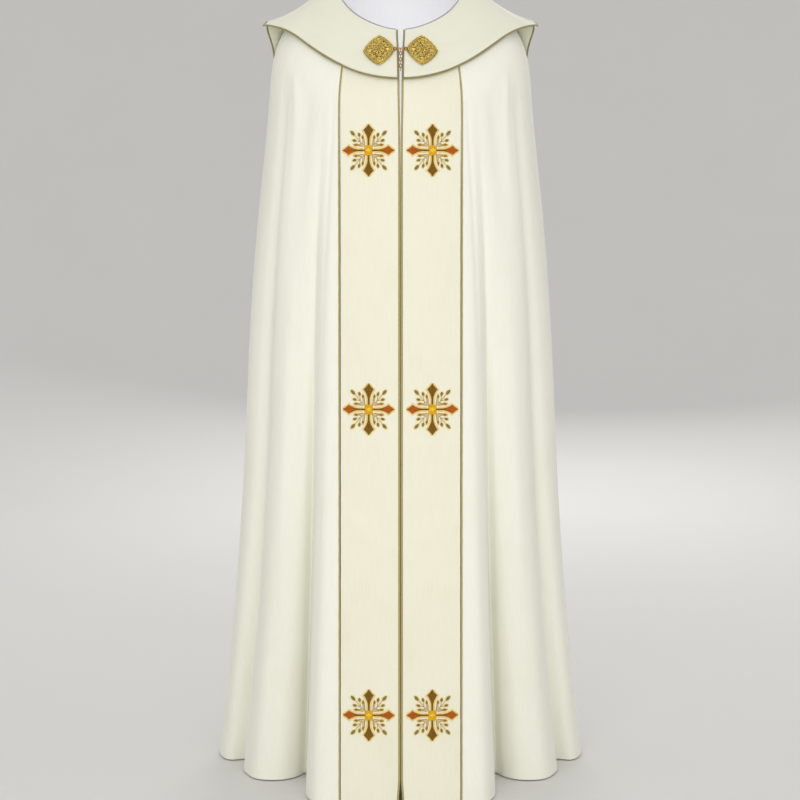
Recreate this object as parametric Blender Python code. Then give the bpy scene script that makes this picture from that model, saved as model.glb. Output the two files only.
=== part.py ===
"""A cope: an open ceremonial cape with a wide collar, two front bands and a clasp.

Metres, +Z up. The garment hangs filled out, as it does when worn, and is hollow
inside. Its front faces -Y, "left" is the -X side, and the origin is the centre
of the neck opening at the height of the shoulders.
"""

import functools
import math
from collections import namedtuple

import bmesh
import bpy
from mathutils import Matrix, Vector

# Cloth and seams
WALL = 0.002
SEAM_GAP = 0.0003
LINING_WALL = 0.001

# Neck opening
NECK_HALF_WIDTH = 0.120
NECK_FRONT = 0.120
NECK_BACK = 0.082
NECK_FRONT_DROP = 0.095
NECK_BACK_RISE = 0.006
NECK_DROP_POWER = 1.25
NECK_SPREAD_POWER = 0.41

# Shoulders, down to the height where the cloth hangs free
CHEST_HEIGHT = -0.240
CHEST_HALF_WIDTH = 0.245
CHEST_FRONT = 0.166
CHEST_BACK = 0.165
CHEST_POWER = 2.35
SHOULDER_SLOPE = 0.65
FRONT_SLOPE = 2.30
BACK_SLOPE = 0.80
SHOULDER_CORNER = 0.97
SHOULDER_TIGHTNESS = 0.88

# The free fall from there to the hem
HEM_HEIGHT = -1.490
BODY_HALF_WIDTH = 0.278
BODY_WIDENING_SHARE = 0.4
FLARE_POWER = 2.0
DEPTH_POWER = 1.5

# Front bands and the cords beside them
BAND_HALF_WIDTH = 0.111
PIPING_RADIUS = 0.0020
COLLAR_PIPING_RADIUS = 0.0018
COLLAR_PIPING_GAP = 0.0004
BINDING_RADIUS = 0.0013
PIPING_START = 0.036

# Collar
COLLAR_FRONT_HEIGHT = -0.183
COLLAR_TIP_HEIGHT = -0.067
COLLAR_TIP_HALF_WIDTH = 0.2205
COLLAR_SIDE_HEIGHT = -0.061
COLLAR_EDGE_POWER = 2.1
HOOD_BOTTOM_HEIGHT = -0.400
COLLAR_LIFT = 0.0064
COLLAR_TIP_REACH = 0.0380
COLLAR_REACH_POWER = 5.0
COLLAR_TIP_FRONT_SPREAD = 20.0
COLLAR_TIP_BACK_SPREAD = 6.5
COLLAR_LIFT_RUN = 0.024

# Lining
LINING_FROM_PLACE = 10
LINING_START_SHARE = 0.06

# Clasp
CLASP_HEIGHT = -0.135
PLATE_HALF_WIDTH = 0.0290
PLATE_HALF_HEIGHT = 0.0300
PLATE_CENTRE = 0.0374
PLATE_POWER = 1.32
PLATE_SCALLOPS = 16
PLATE_SCALLOP_DEPTH = 0.022
RING_RADIUS = 0.0028
RING_WIRE = 0.0008
RING_REACH = 0.0298
RING_HEIGHT = 0.0030
LINK_WIRE = 0.0007
LINK_HALF_WIDTH = 0.0019
LINK_CLEARANCE = 0.0004
CHAIN_LINKS = 7
CHAIN_HALF_LENGTH = 0.0040
CHAIN_HALF_WIDTH = 0.0018

# The plate from its back to its top: each step's share of the outline, and height
Step = namedtuple("Step", "size height")
PLATE_STEPS = (
    Step(1.00, 0.0000),
    Step(1.00, 0.0020),
    Step(0.94, 0.0028),
    Step(0.84, 0.0028),
    Step(0.78, 0.0018),
    Step(0.46, 0.0022),
    Step(0.40, 0.0036),
    Step(0.22, 0.0048),
)
PLATE_TOP = 0.0052

# Mesh density
BAND_COLUMNS = 6
FOLD_COLUMNS = 2
CAP_ROWS = 7
FALL_ROWS = 11
COLLAR_COLUMN_BEARING = 4.8
COLLAR_ROWS = 8
CORD_RESOLUTION = 2
BINDING_RESOLUTION = 1
PLATE_POINTS = 32
LINK_SIDES = 6
LINK_END_POINTS = 5
RING_POINTS = 16
SHARP_ANGLE = 40.0

# Steps for slopes and lengths on the cloth, in places and levels, and the
# number of halvings in a search along it
SLOPE_PLACE_STEP = 0.02
SLOPE_LEVEL_STEP = 0.004
LENGTH_LEVEL_STEP = 0.01
CORD_LEVEL_ROOM = 0.02
LINK_LEVEL_RANGE = 0.2
HALVINGS = 30

# One row for each crest, valley or flank of the hanging cloth, from the centre
# front to the centre back. The bearing, in degrees from the front, places it on
# the shoulders, and the last two columns are its place at the hem.
Fold = namedtuple("Fold", "name bearing hem_x hem_y")
FOLDS = (
    Fold("centre front", 0.0, 0.000, -0.246),
    Fold("band seam", 21.0, BAND_HALF_WIDTH, -0.242),
    Fold("front crest", 24.6, 0.155, -0.232),
    Fold("front corner", 26.8, 0.172, -0.196),
    Fold("front return", 28.8, 0.172, -0.120),
    Fold("first valley", 30.3, 0.184, -0.052),
    Fold("middle rise", 33.2, 0.199, -0.078),
    Fold("middle crest", 38.0, 0.224, -0.096),
    Fold("middle crest end", 45.5, 0.266, -0.095),
    Fold("middle fall", 50.5, 0.300, -0.040),
    Fold("second valley", 54.3, 0.305, 0.040),
    Fold("side rise", 62.5, 0.334, 0.034),
    Fold("side crest", 82.0, 0.357, 0.072),
    Fold("side line", 94.0, 0.355, 0.116),
    Fold("side fall", 102.0, 0.328, 0.152),
    Fold("third valley", 110.0, 0.276, 0.146),
    Fold("shoulder rise", 116.0, 0.268, 0.200),
    Fold("shoulder crest", 124.0, 0.286, 0.256),
    Fold("shoulder crest end", 132.0, 0.236, 0.288),
    Fold("fourth valley", 140.0, 0.192, 0.216),
    Fold("back rise", 146.0, 0.166, 0.256),
    Fold("back crest", 152.0, 0.158, 0.312),
    Fold("back crest end", 158.0, 0.112, 0.322),
    Fold("fifth valley", 165.0, 0.084, 0.240),
    Fold("centre rise", 170.0, 0.060, 0.290),
    Fold("centre crest", 175.0, 0.030, 0.318),
    Fold("centre back", 180.0, 0.000, 0.322),
)
BAND_SEAM = 1
SIDE_SEAM = 13
LAST = len(FOLDS) - 1
MIRROR = Vector((-1.0, 1.0, 1.0))

# Half the width of the opening between the cords' centres, down its length
Opening = namedtuple("Opening", "height half_width")
OPENING = (
    Opening(-0.095, 0.0062),
    Opening(-0.140, 0.0044),
    Opening(-0.185, 0.0037),
    Opening(-0.310, 0.0022),
    Opening(-1.440, 0.0022),
    Opening(-1.490, 0.0050),
)

Finish = namedtuple("Finish", "name colour roughness metallic")
SIDE_CLOTH = Finish("ivory_satin", (0.84, 0.84, 0.75, 1.0), 0.55, 0.0)
BAND_CLOTH = Finish("cream_satin", (0.85, 0.82, 0.69, 1.0), 0.50, 0.0)
LINING_CLOTH = Finish("white_lining", (0.86, 0.86, 0.90, 1.0), 0.60, 0.0)
CORD = Finish("olive_gold_cord", (0.30, 0.24, 0.09, 1.0), 0.45, 0.2)
BINDING = Finish("grey_binding", (0.55, 0.53, 0.56, 1.0), 0.60, 0.0)
GOLD = Finish("antique_gold", (0.45, 0.30, 0.06, 1.0), 0.32, 1.0)


def clear_scene():
    for obj in list(bpy.data.objects):
        bpy.data.objects.remove(obj, do_unlink=True)


def material(finish):
    """The named material, made on first use."""
    found = bpy.data.materials.get(finish.name)
    if found:
        return found
    made = bpy.data.materials.new(finish.name)
    made.use_nodes = True
    shader = made.node_tree.nodes["Principled BSDF"]
    shader.inputs["Base Color"].default_value = finish.colour
    shader.inputs["Roughness"].default_value = finish.roughness
    shader.inputs["Metallic"].default_value = finish.metallic
    return made


def smoothstep(value):
    share = min(1.0, max(0.0, value))
    return share * share * (3 - 2 * share)


def between(low, high, share):
    return low + (high - low) * share


def neck_point(bearing):
    """The neckline at a bearing: low in front and a little raised behind."""
    angle = math.radians(bearing)
    front = math.cos(angle)
    if front > 0:
        depth = -NECK_FRONT * front
        height = -NECK_FRONT_DROP * front**NECK_DROP_POWER
    else:
        depth = -NECK_BACK * front
        height = -NECK_BACK_RISE * front
    return Vector((NECK_HALF_WIDTH * math.sin(angle), depth, height))


def upper_section(fold, half_width):
    """A fold's point on the smooth outline that the cloth has above its folds.

    The bands keep their width, so their seam's bearing follows from it.
    """
    angle = math.radians(fold.bearing)
    if fold is FOLDS[BAND_SEAM]:
        angle = math.asin((BAND_HALF_WIDTH / half_width) ** (CHEST_POWER / 2))
    across = abs(math.sin(angle)) ** (2 / CHEST_POWER)
    along = abs(math.cos(angle)) ** (2 / CHEST_POWER)
    depth = -CHEST_FRONT if math.cos(angle) > 0 else CHEST_BACK
    return half_width * across, depth * along


def shoulder_slope(bearing):
    """How steeply the cloth leaves the neckline, as a drop for each unit out."""
    front = math.cos(math.radians(bearing))
    steepest = FRONT_SLOPE if front > 0 else BACK_SLOPE
    return between(SHOULDER_SLOPE, steepest, front * front)


def neck_bearing(bearing):
    """Where a line down the cloth starts on the neckline.

    The front bands run up almost straight, so the front lines start further
    round the neck than they hang.
    """
    if bearing >= 90.0:
        return bearing
    return 90.0 * (bearing / 90.0) ** NECK_SPREAD_POWER


def shoulder_point(fold, share):
    """A point of the shoulder cap, from the neckline at 0 to the chest at 1."""
    start_bearing = neck_bearing(fold.bearing)
    neck = neck_point(start_bearing)
    chest = Vector((*upper_section(fold, CHEST_HALF_WIDTH), CHEST_HEIGHT))
    run = (chest - neck).to_2d() * SHOULDER_CORNER
    drop = shoulder_slope((fold.bearing + start_bearing) / 2) * run.length
    corner = neck + Vector((run.x, run.y, -drop))
    start = neck.lerp(corner, SHOULDER_TIGHTNESS)
    end = chest.lerp(corner, SHOULDER_TIGHTNESS)
    rest = 1 - share
    return (
        neck * rest**3
        + start * (3 * rest * rest * share)
        + end * (3 * rest * share * share)
        + chest * share**3
    )


def fall_point(fold, share):
    """A point of the free fall, from the chest at 0 to the hem at 1."""
    widening = 1 - (1 - min(1.0, share / BODY_WIDENING_SHARE)) ** 2
    half_width = between(CHEST_HALF_WIDTH, BODY_HALF_WIDTH, widening)
    smooth_x, smooth_y = upper_section(fold, half_width)
    x = between(smooth_x, fold.hem_x, share**FLARE_POWER)
    y = between(smooth_y, fold.hem_y, share**DEPTH_POWER)
    return Vector((x, y, between(CHEST_HEIGHT, HEM_HEIGHT, share)))


@functools.cache
def half_section(level):
    """The FOLDS' points at a level: 0 is the neckline, 1 the chest, 2 the hem.

    One mirrored point is added before the first and one after the last.
    """
    if level <= 1:
        points = [shoulder_point(fold, level) for fold in FOLDS]
    else:
        points = [fall_point(fold, level - 1) for fold in FOLDS]
    return [points[1] * MIRROR, *points, points[-2] * MIRROR]


def knot_slope(before, here, after):
    """The slope at a knot of a smooth curve, from its two chords."""
    first = (here - before).length
    second = (after - here).length
    return ((here - before) / first * second + (after - here) / second * first) / (
        first + second
    )


def cloth_point(place, level):
    """The cloth's middle surface. A place counts FOLDS from the centre front.

    A place past the centre front or the centre back is on the mirrored half.
    """
    if place < 0:
        return cloth_point(-place, level) * MIRROR
    if place > LAST:
        return cloth_point(2 * LAST - place, level) * MIRROR
    index = min(int(place), LAST - 1)
    share = place - index
    knots = half_section(level)[index : index + 4]
    length = (knots[2] - knots[1]).length
    leave = knot_slope(*knots[:3]) * length
    arrive = knot_slope(*knots[1:]) * length
    return (
        knots[1] * (2 * share**3 - 3 * share**2 + 1)
        + leave * (share**3 - 2 * share**2 + share)
        + knots[2] * (3 * share**2 - 2 * share**3)
        + arrive * (share**3 - share**2)
    )


def cloth_frame(place, level):
    """Point, outward normal, a step round the body and a unit step down it.

    The step round the body runs along the level and is a unit wide, measured
    square to the step down.
    """
    low = max(0.0, level - SLOPE_LEVEL_STEP)
    high = min(2.0, level + SLOPE_LEVEL_STEP)
    ahead = cloth_point(place + SLOPE_PLACE_STEP, level)
    around = ahead - cloth_point(place - SLOPE_PLACE_STEP, level)
    down = cloth_point(place, high) - cloth_point(place, low)
    normal = down.cross(around).normalized()
    down.normalize()
    around /= around.dot(normal.cross(down))
    return cloth_point(place, level), normal, around, down


def level_at_height(place, height):
    """The level at which the cloth at a place reaches a height."""
    low, high = 0.0, 2.0
    for _ in range(HALVINGS):
        middle = (low + high) / 2
        if cloth_point(place, middle).z > height:
            low = middle
        else:
            high = middle
    return (low + high) / 2


def level_down(place, distance):
    """The level at a distance down the cloth from the neckline."""
    level, run = 0.0, 0.0
    here = cloth_point(place, 0.0)
    while True:
        there = cloth_point(place, level + LENGTH_LEVEL_STEP)
        length = (there - here).length
        if run + length >= distance:
            return level + LENGTH_LEVEL_STEP * (distance - run) / length
        level += LENGTH_LEVEL_STEP
        run += length
        here = there


def place_at_half_width(level, half_width):
    """The place on the front at which the cloth is this far from the centre."""
    low, high = 0.0, float(BAND_SEAM)
    for _ in range(HALVINGS):
        middle = (low + high) / 2
        if cloth_point(middle, level).x < half_width:
            low = middle
        else:
            high = middle
    return (low + high) / 2


def opening_half_width(height):
    """Half the distance between the two front cords at a height."""
    for upper, lower in zip(OPENING, OPENING[1:]):
        if height >= lower.height:
            share = smoothstep((upper.height - height) / (upper.height - lower.height))
            return between(upper.half_width, lower.half_width, share)
    return OPENING[-1].half_width


def body_levels():
    cap = [row / CAP_ROWS for row in range(CAP_ROWS)]
    fall = [1 + row / FALL_ROWS for row in range(FALL_ROWS + 1)]
    return cap + fall


def add_object(name, mesh, finish, smooth=True):
    mesh.materials.append(material(finish))
    if smooth:
        mesh.shade_smooth()
        mesh.set_sharp_from_angle(angle=math.radians(SHARP_ANGLE))
    obj = bpy.data.objects.new(name, mesh)
    bpy.context.collection.objects.link(obj)
    return obj


def wall_mesh(name, outer, inner):
    """A closed wall between two grids of points, listed by row and column."""
    rows, columns = len(outer), len(outer[0])
    mesh = bpy.data.meshes.new(name)
    shape = bmesh.new()
    front = [[shape.verts.new(point) for point in row] for row in outer]
    back = [[shape.verts.new(point) for point in row] for row in inner]
    for row in range(rows - 1):
        for column in range(columns - 1):
            for side in (front, back):
                start, end = side[row][column], side[row + 1][column + 1]
                shape.faces.new((start, side[row + 1][column], end))
                shape.faces.new((start, end, side[row][column + 1]))
        for column in (0, columns - 1):
            shape.faces.new(
                (
                    front[row][column],
                    front[row + 1][column],
                    back[row + 1][column],
                    back[row][column],
                )
            )
    for row in (0, rows - 1):
        for column in range(columns - 1):
            shape.faces.new(
                (
                    front[row][column],
                    front[row][column + 1],
                    back[row][column + 1],
                    back[row][column],
                )
            )
    bmesh.ops.recalc_face_normals(shape, faces=shape.faces)
    shape.to_mesh(mesh)
    shape.free()
    return mesh


def mirrored(grid):
    return [[point * MIRROR for point in row] for row in grid]


def add_wall(name, frames, finish, thickness=WALL, mirror=False):
    """A cloth wall about its middle surface, from rows of (point, normal)."""
    outer = [[point + normal * thickness / 2 for point, normal in row] for row in frames]
    inner = [[point - normal * thickness / 2 for point, normal in row] for row in frames]
    if mirror:
        outer, inner = mirrored(outer), mirrored(inner)
    return add_object(name, wall_mesh(name, outer, inner), finish)


def add_cord(name, path, radius, finish, mirror=False, resolution=CORD_RESOLUTION):
    """A round cord with filled ends along a row of points."""
    curve = bpy.data.curves.new(name, "CURVE")
    curve.dimensions = "3D"
    curve.bevel_depth = radius
    curve.bevel_resolution = resolution
    curve.use_fill_caps = True
    curve.twist_mode = "MINIMUM"
    spline = curve.splines.new("POLY")
    spline.points.add(len(path) - 1)
    for point, place in zip(spline.points, path):
        x = -place.x if mirror else place.x
        point.co = (x, place.y, place.z, 1.0)
    curve.materials.append(material(finish))
    obj = bpy.data.objects.new(name, curve)
    bpy.context.collection.objects.link(obj)
    return obj


def seam_shift(frame, distance):
    """A frame's point and normal, moved along its level, away from a seam."""
    point, normal, around, _ = frame
    return point + around * distance, normal


def panel_frames(first, last, first_shift, last_shift):
    """Rows of (point, normal) of a panel between two whole places."""
    columns = (last - first) * FOLD_COLUMNS
    rows = []
    for level in body_levels():
        row = []
        for column in range(columns + 1):
            frame = cloth_frame(first + column / FOLD_COLUMNS, level)
            shift = {0: first_shift, columns: -last_shift}.get(column, 0.0)
            row.append(seam_shift(frame, shift))
        rows.append(row)
    return rows


def band_frames():
    """Rows of one front band, from the opening to the band seam."""
    rows = []
    for level in body_levels():
        height = cloth_point(0.0, level).z
        edge = opening_half_width(height) + PIPING_RADIUS + SEAM_GAP
        row = [seam_shift(cloth_frame(place_at_half_width(level, edge), level), 0.0)]
        for column in range(1, BAND_COLUMNS + 1):
            frame = cloth_frame(BAND_SEAM * column / BAND_COLUMNS, level)
            shift = -(PIPING_RADIUS + SEAM_GAP) if column == BAND_COLUMNS else 0.0
            row.append(seam_shift(frame, shift))
        rows.append(row)
    return rows


def place_at_bearing(bearing):
    """The place at a bearing of 0 to 360 degrees from the centre front."""
    if bearing > 180.0:
        return 2 * LAST - place_at_bearing(360.0 - bearing)
    for index, (fold, following) in enumerate(zip(FOLDS, FOLDS[1:])):
        if bearing <= following.bearing:
            return index + (bearing - fold.bearing) / (following.bearing - fold.bearing)
    return float(LAST)


def bearing_at(place):
    """The bearing of a place, past 180 degrees on the mirrored half."""
    if place > LAST:
        return 360.0 - bearing_at(2 * LAST - place)
    index = min(int(place), LAST - 1)
    return between(FOLDS[index].bearing, FOLDS[index + 1].bearing, place - index)


def collar_places():
    """The body's own columns under the collar, left out where they crowd."""
    half = []
    for column in range(1, BAND_COLUMNS):
        half.append(column / BAND_COLUMNS)
    for column in range((LAST - BAND_SEAM) * FOLD_COLUMNS):
        place = BAND_SEAM + column / FOLD_COLUMNS
        room = min(bearing_at(place) - bearing_at(half[-1]), 180.0 - bearing_at(place))
        if room >= COLLAR_COLUMN_BEARING:
            half.append(place)
    return [*half, float(LAST), *(2 * LAST - place for place in reversed(half))]


def collar_edge_height(bearing, half_width):
    """The height of the collar's lower edge: high at the shoulders, low behind."""
    if bearing <= 90.0 or bearing >= 270.0:
        rise = (half_width / COLLAR_TIP_HALF_WIDTH) ** COLLAR_EDGE_POWER
        return between(COLLAR_FRONT_HEIGHT, COLLAR_TIP_HEIGHT, rise)
    rise = 1 - abs(math.cos(math.radians(bearing)))
    return between(HOOD_BOTTOM_HEIGHT, COLLAR_SIDE_HEIGHT, rise)


def collar_edge_level(bearing):
    """The level at which the cloth passes under the collar's lower edge."""
    place = place_at_bearing(bearing)
    low, high = 0.0, 2.0
    for _ in range(HALVINGS):
        middle = (low + high) / 2
        point = cloth_point(place, middle)
        if point.z > collar_edge_height(bearing, abs(point.x)):
            low = middle
        else:
            high = middle
    return (low + high) / 2


def collar_point(place, bearing, share):
    """A point of the collar's middle surface: the cloth's own, moved out.

    The share runs from the neckline at 0 to the collar's lower edge at 1. The
    stiff edge stands out past the shoulder, most at its tip.
    """
    level = share * collar_edge_level(bearing)
    point, normal, _, _ = cloth_frame(place, level)
    run = (point - cloth_point(place, 0.0)).length
    lift = between(WALL + SEAM_GAP, COLLAR_LIFT, smoothstep(run / COLLAR_LIFT_RUN))
    from_tip = abs(180.0 - bearing) - 90.0
    from_tip /= COLLAR_TIP_FRONT_SPREAD if from_tip > 0 else COLLAR_TIP_BACK_SPREAD
    outward = Vector((normal.x, normal.y, 0.0)).normalized()
    reach = COLLAR_TIP_REACH * share**COLLAR_REACH_POWER * math.exp(-from_tip * from_tip)
    return point + normal * lift + outward * reach, normal


def collar_start(share):
    """The place at which the collar starts, beside its cord at the opening."""
    level = share * collar_edge_level(0.0)
    height = cloth_point(0.0, level).z
    edge = opening_half_width(height) + COLLAR_PIPING_RADIUS + COLLAR_PIPING_GAP
    return place_at_half_width(level, edge)


def collar_frames():
    """Rows of the collar, from one side of the opening round to the other."""
    rows = []
    for step in range(COLLAR_ROWS + 1):
        share = step / COLLAR_ROWS
        start = collar_start(share)
        row = [collar_point(start, 0.0, share)]
        for place in collar_places():
            row.append(collar_point(place, bearing_at(place), share))
        row.append(collar_point(2 * LAST - start, 360.0, share))
        rows.append(row)
    return rows


def beside_edge(edge, within, distance):
    """Points beside a panel's edge, square to it, on the far side of the cloth.

    The second row of points lies within the cloth, one for each on the edge.
    Where the edge turns, the point moves out so that both its sides stay clear.
    """
    points = []
    for index, (point, inner) in enumerate(zip(edge, within)):
        arriving = (point - edge[max(index - 1, 0)]).normalized()
        leaving = (edge[min(index + 1, len(edge) - 1)] - point).normalized()
        both = arriving + leaving
        half_turn = both.length / 2 if arriving.length and leaving.length else 1.0
        along = both.normalized()
        away = point - inner
        away -= along * away.dot(along)
        points.append(point + away.normalized() * distance / half_turn)
    return points


def collar_cord_path(rows):
    """Down one edge of the opening, round the lower edge and up the other."""
    reach = COLLAR_PIPING_RADIUS + COLLAR_PIPING_GAP
    points = [[point for point, _ in row] for row in rows]
    right = beside_edge([row[0] for row in points], [row[1] for row in points], reach)
    left = beside_edge([row[-1] for row in points], [row[-2] for row in points], reach)
    below = beside_edge(points[-1], points[-2], reach)
    right[-1] += below[0] - points[-1][0]
    left[-1] += below[-1] - points[-1][-1]
    return [*right, *below[1:-1], *reversed(left)]


def lining_frames():
    """Rows of the lining, on the body's own points, close inside its back."""
    offset = -(WALL / 2 + SEAM_GAP + LINING_WALL / 2)
    first, last = LINING_FROM_PLACE, 2 * LAST - LINING_FROM_PLACE
    body = panel_frames(first, last, 0.0, 0.0)[: CAP_ROWS + 1]
    rows = []
    for body_row in body:
        spaced = body_row[::FOLD_COLUMNS]
        rows.append([(point + normal * offset, normal) for point, normal in spaced])
    top = []
    for (upper, normal), (lower, _) in zip(rows[0], rows[1]):
        top.append((upper.lerp(lower, LINING_START_SHARE), normal))
    return [top, *rows[1:]]


def binding_path():
    """Along the neckline, on the edges of the body and the collar."""
    start = collar_start(0.0)
    edge, within = [], []
    for place in (start, *collar_places(), 2 * LAST - start):
        point, normal, _, down = cloth_frame(place, 0.0)
        above_seam = point + normal * (WALL + SEAM_GAP) / 2
        edge.append(above_seam)
        within.append(above_seam + down)
    return beside_edge(edge, within, BINDING_RADIUS + 2 * SEAM_GAP)


def cord_levels(place):
    """The levels of a cord's points, from where it shows below the neckline."""
    start = level_down(place, PIPING_START)
    below = [level for level in body_levels() if level > start + CORD_LEVEL_ROOM]
    return [start, *below]


def opening_cord_path():
    path = []
    for level in cord_levels(0.0):
        half_width = opening_half_width(cloth_point(0.0, level).z)
        path.append(cloth_point(place_at_half_width(level, half_width), level))
    return path


def loop_mesh(name, path, radius):
    """A closed loop of wire through a ring of points that lie in one plane."""
    count = len(path)
    centre = sum(path, Vector()) / count
    axis = (path[0] - centre).cross(path[count // 4] - centre).normalized()
    shape = bmesh.new()
    rings = []
    for index, point in enumerate(path):
        ahead = path[(index + 1) % count] - path[index - 1]
        outward = ahead.cross(axis).normalized()
        ring = []
        for side in range(LINK_SIDES):
            angle = math.tau * side / LINK_SIDES
            offset = outward * math.cos(angle) + axis * math.sin(angle)
            ring.append(shape.verts.new(point + offset * radius))
        rings.append(ring)
    for index, ring in enumerate(rings):
        following = rings[(index + 1) % count]
        for side in range(LINK_SIDES):
            after = (side + 1) % LINK_SIDES
            shape.faces.new((ring[side], ring[after], following[after], following[side]))
    bmesh.ops.recalc_face_normals(shape, faces=shape.faces)
    mesh = bpy.data.meshes.new(name)
    shape.to_mesh(mesh)
    shape.free()
    return mesh


def oval_path(centre, long_axis, short_axis, half_length, half_width):
    """A link's outline: two straight sides and two round ends."""
    path = []
    straight = half_length - half_width
    for end in (1, -1):
        for step in range(LINK_END_POINTS):
            angle = math.pi * (step / (LINK_END_POINTS - 1) - 0.5)
            along = end * (straight + half_width * math.cos(angle))
            across = end * half_width * math.sin(angle)
            path.append(centre + long_axis * along + short_axis * across)
    return path


def plate_outline(angle):
    """The lozenge's radius at an angle, with small scallops on its edge."""
    across = abs(math.cos(angle) / PLATE_HALF_WIDTH) ** PLATE_POWER
    along = abs(math.sin(angle) / PLATE_HALF_HEIGHT) ** PLATE_POWER
    scallop = 1 - PLATE_SCALLOP_DEPTH * (1 - math.cos(PLATE_SCALLOPS * angle)) / 2
    return scallop * (across + along) ** (-1 / PLATE_POWER)


def plate_mesh(name):
    """A lozenge with a raised rim and a domed middle, its back at height 0."""
    shape = bmesh.new()
    rings = []
    for step in PLATE_STEPS:
        ring = []
        for index in range(PLATE_POINTS):
            angle = math.tau * index / PLATE_POINTS
            radius = plate_outline(angle) * step.size
            place = (radius * math.cos(angle), radius * math.sin(angle), step.height)
            ring.append(shape.verts.new(place))
        rings.append(ring)
    for lower, upper in zip(rings, rings[1:]):
        for index in range(PLATE_POINTS):
            after = (index + 1) % PLATE_POINTS
            shape.faces.new((lower[index], lower[after], upper[after], upper[index]))
    top = shape.verts.new((0.0, 0.0, PLATE_TOP))
    base = shape.verts.new((0.0, 0.0, 0.0))
    for index in range(PLATE_POINTS):
        after = (index + 1) % PLATE_POINTS
        shape.faces.new((rings[-1][index], rings[-1][after], top))
        shape.faces.new((rings[0][after], rings[0][index], base))
    bmesh.ops.recalc_face_normals(shape, faces=shape.faces)
    mesh = bpy.data.meshes.new(name)
    shape.to_mesh(mesh)
    shape.free()
    return mesh


def collar_face(place, level):
    """A level frame on the middle of the collar's wall near the centre front."""
    point, normal, _, _ = cloth_frame(place, level)
    across = (Vector((1, 0, 0)) - normal * normal.x).normalized()
    return point + normal * COLLAR_LIFT, normal, across, across.cross(normal)


def plate_stand():
    """The placement of the right-hand plate, its back just off the collar."""
    place = place_at_half_width(level_at_height(0.0, CLASP_HEIGHT), PLATE_CENTRE)
    level = level_at_height(place, CLASP_HEIGHT)
    centre, normal, across, _ = collar_face(place, level)
    back = centre + normal * (WALL / 2 + SEAM_GAP)
    turn = Matrix((across, normal.cross(across), normal)).transposed().to_4x4()
    return Matrix.Translation(back) @ turn


def add_plate(side, mirror):
    """One lozenge of the clasp, with a wire ring joined to its inner tip."""
    stand = Matrix.Diagonal((-1 if mirror else 1, 1, 1, 1)) @ plate_stand()
    plate = add_object(f"clasp_plate_{side}", plate_mesh(f"clasp_plate_{side}"), GOLD)
    ring_path = []
    for index in range(RING_POINTS):
        angle = math.tau * index / RING_POINTS
        x = RING_RADIUS * math.cos(angle) - RING_REACH
        ring_path.append(Vector((x, RING_RADIUS * math.sin(angle), RING_HEIGHT)))
    name = f"clasp_ring_{side}"
    ring = add_object(name, loop_mesh(name, ring_path, RING_WIRE), GOLD)
    for obj in (plate, ring):
        obj.data.transform(stand)
        if mirror:
            obj.data.flip_normals()
    ring.hide_render = True
    ring.display_type = "WIRE"
    union = plate.modifiers.new("ring", "BOOLEAN")
    union.operation = "UNION"
    union.object = ring


def next_link_level(level, height, distance):
    """The level further down at which the links' line is this far away."""
    start, normal, _, _ = collar_face(0.0, level)
    start += normal * height
    low, high = level, level + LINK_LEVEL_RANGE
    for _ in range(HALVINGS):
        middle = (low + high) / 2
        point, normal, _, _ = collar_face(0.0, middle)
        if (point + normal * height - start).length < distance:
            low = middle
        else:
            high = middle
    return low


def level_beside(point):
    """The level at which the collar's middle passes straight beneath a point."""
    low, high = 0.0, 1.0
    for _ in range(HALVINGS):
        middle = (low + high) / 2
        face, _, _, down = collar_face(0.0, middle)
        if (point - face).dot(down) > 0:
            low = middle
        else:
            high = middle
    return (low + high) / 2


def add_links():
    """The oval link through both rings, and the small links that hang from it."""
    hook = plate_stand() @ Vector((-RING_REACH - RING_RADIUS, 0.0, RING_HEIGHT))
    half_length = hook.x + RING_WIRE + LINK_WIRE + LINK_CLEARANCE
    centre = Vector((0.0, hook.y, hook.z))
    level = level_beside(centre)
    face, normal, across, _ = collar_face(0.0, level)
    height = (centre - face).dot(normal)
    path = oval_path(face + normal * height, across, normal, half_length, LINK_HALF_WIDTH)
    add_object("clasp_link", loop_mesh("clasp_link", path, LINK_WIRE), GOLD)
    height -= LINK_HALF_WIDTH
    overlap = 2 * LINK_WIRE + LINK_CLEARANCE
    step = CHAIN_HALF_LENGTH - overlap
    for index in range(CHAIN_LINKS):
        level = next_link_level(level, height, step)
        face, normal, across, down = collar_face(0.0, level)
        width_axis = normal if index % 2 == 0 else across
        middle = face + normal * height
        path = oval_path(middle, down, width_axis, CHAIN_HALF_LENGTH, CHAIN_HALF_WIDTH)
        name = f"clasp_chain_{index + 1}"
        add_object(name, loop_mesh(name, path, LINK_WIRE), GOLD)
        step = 2 * CHAIN_HALF_LENGTH - overlap


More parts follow.
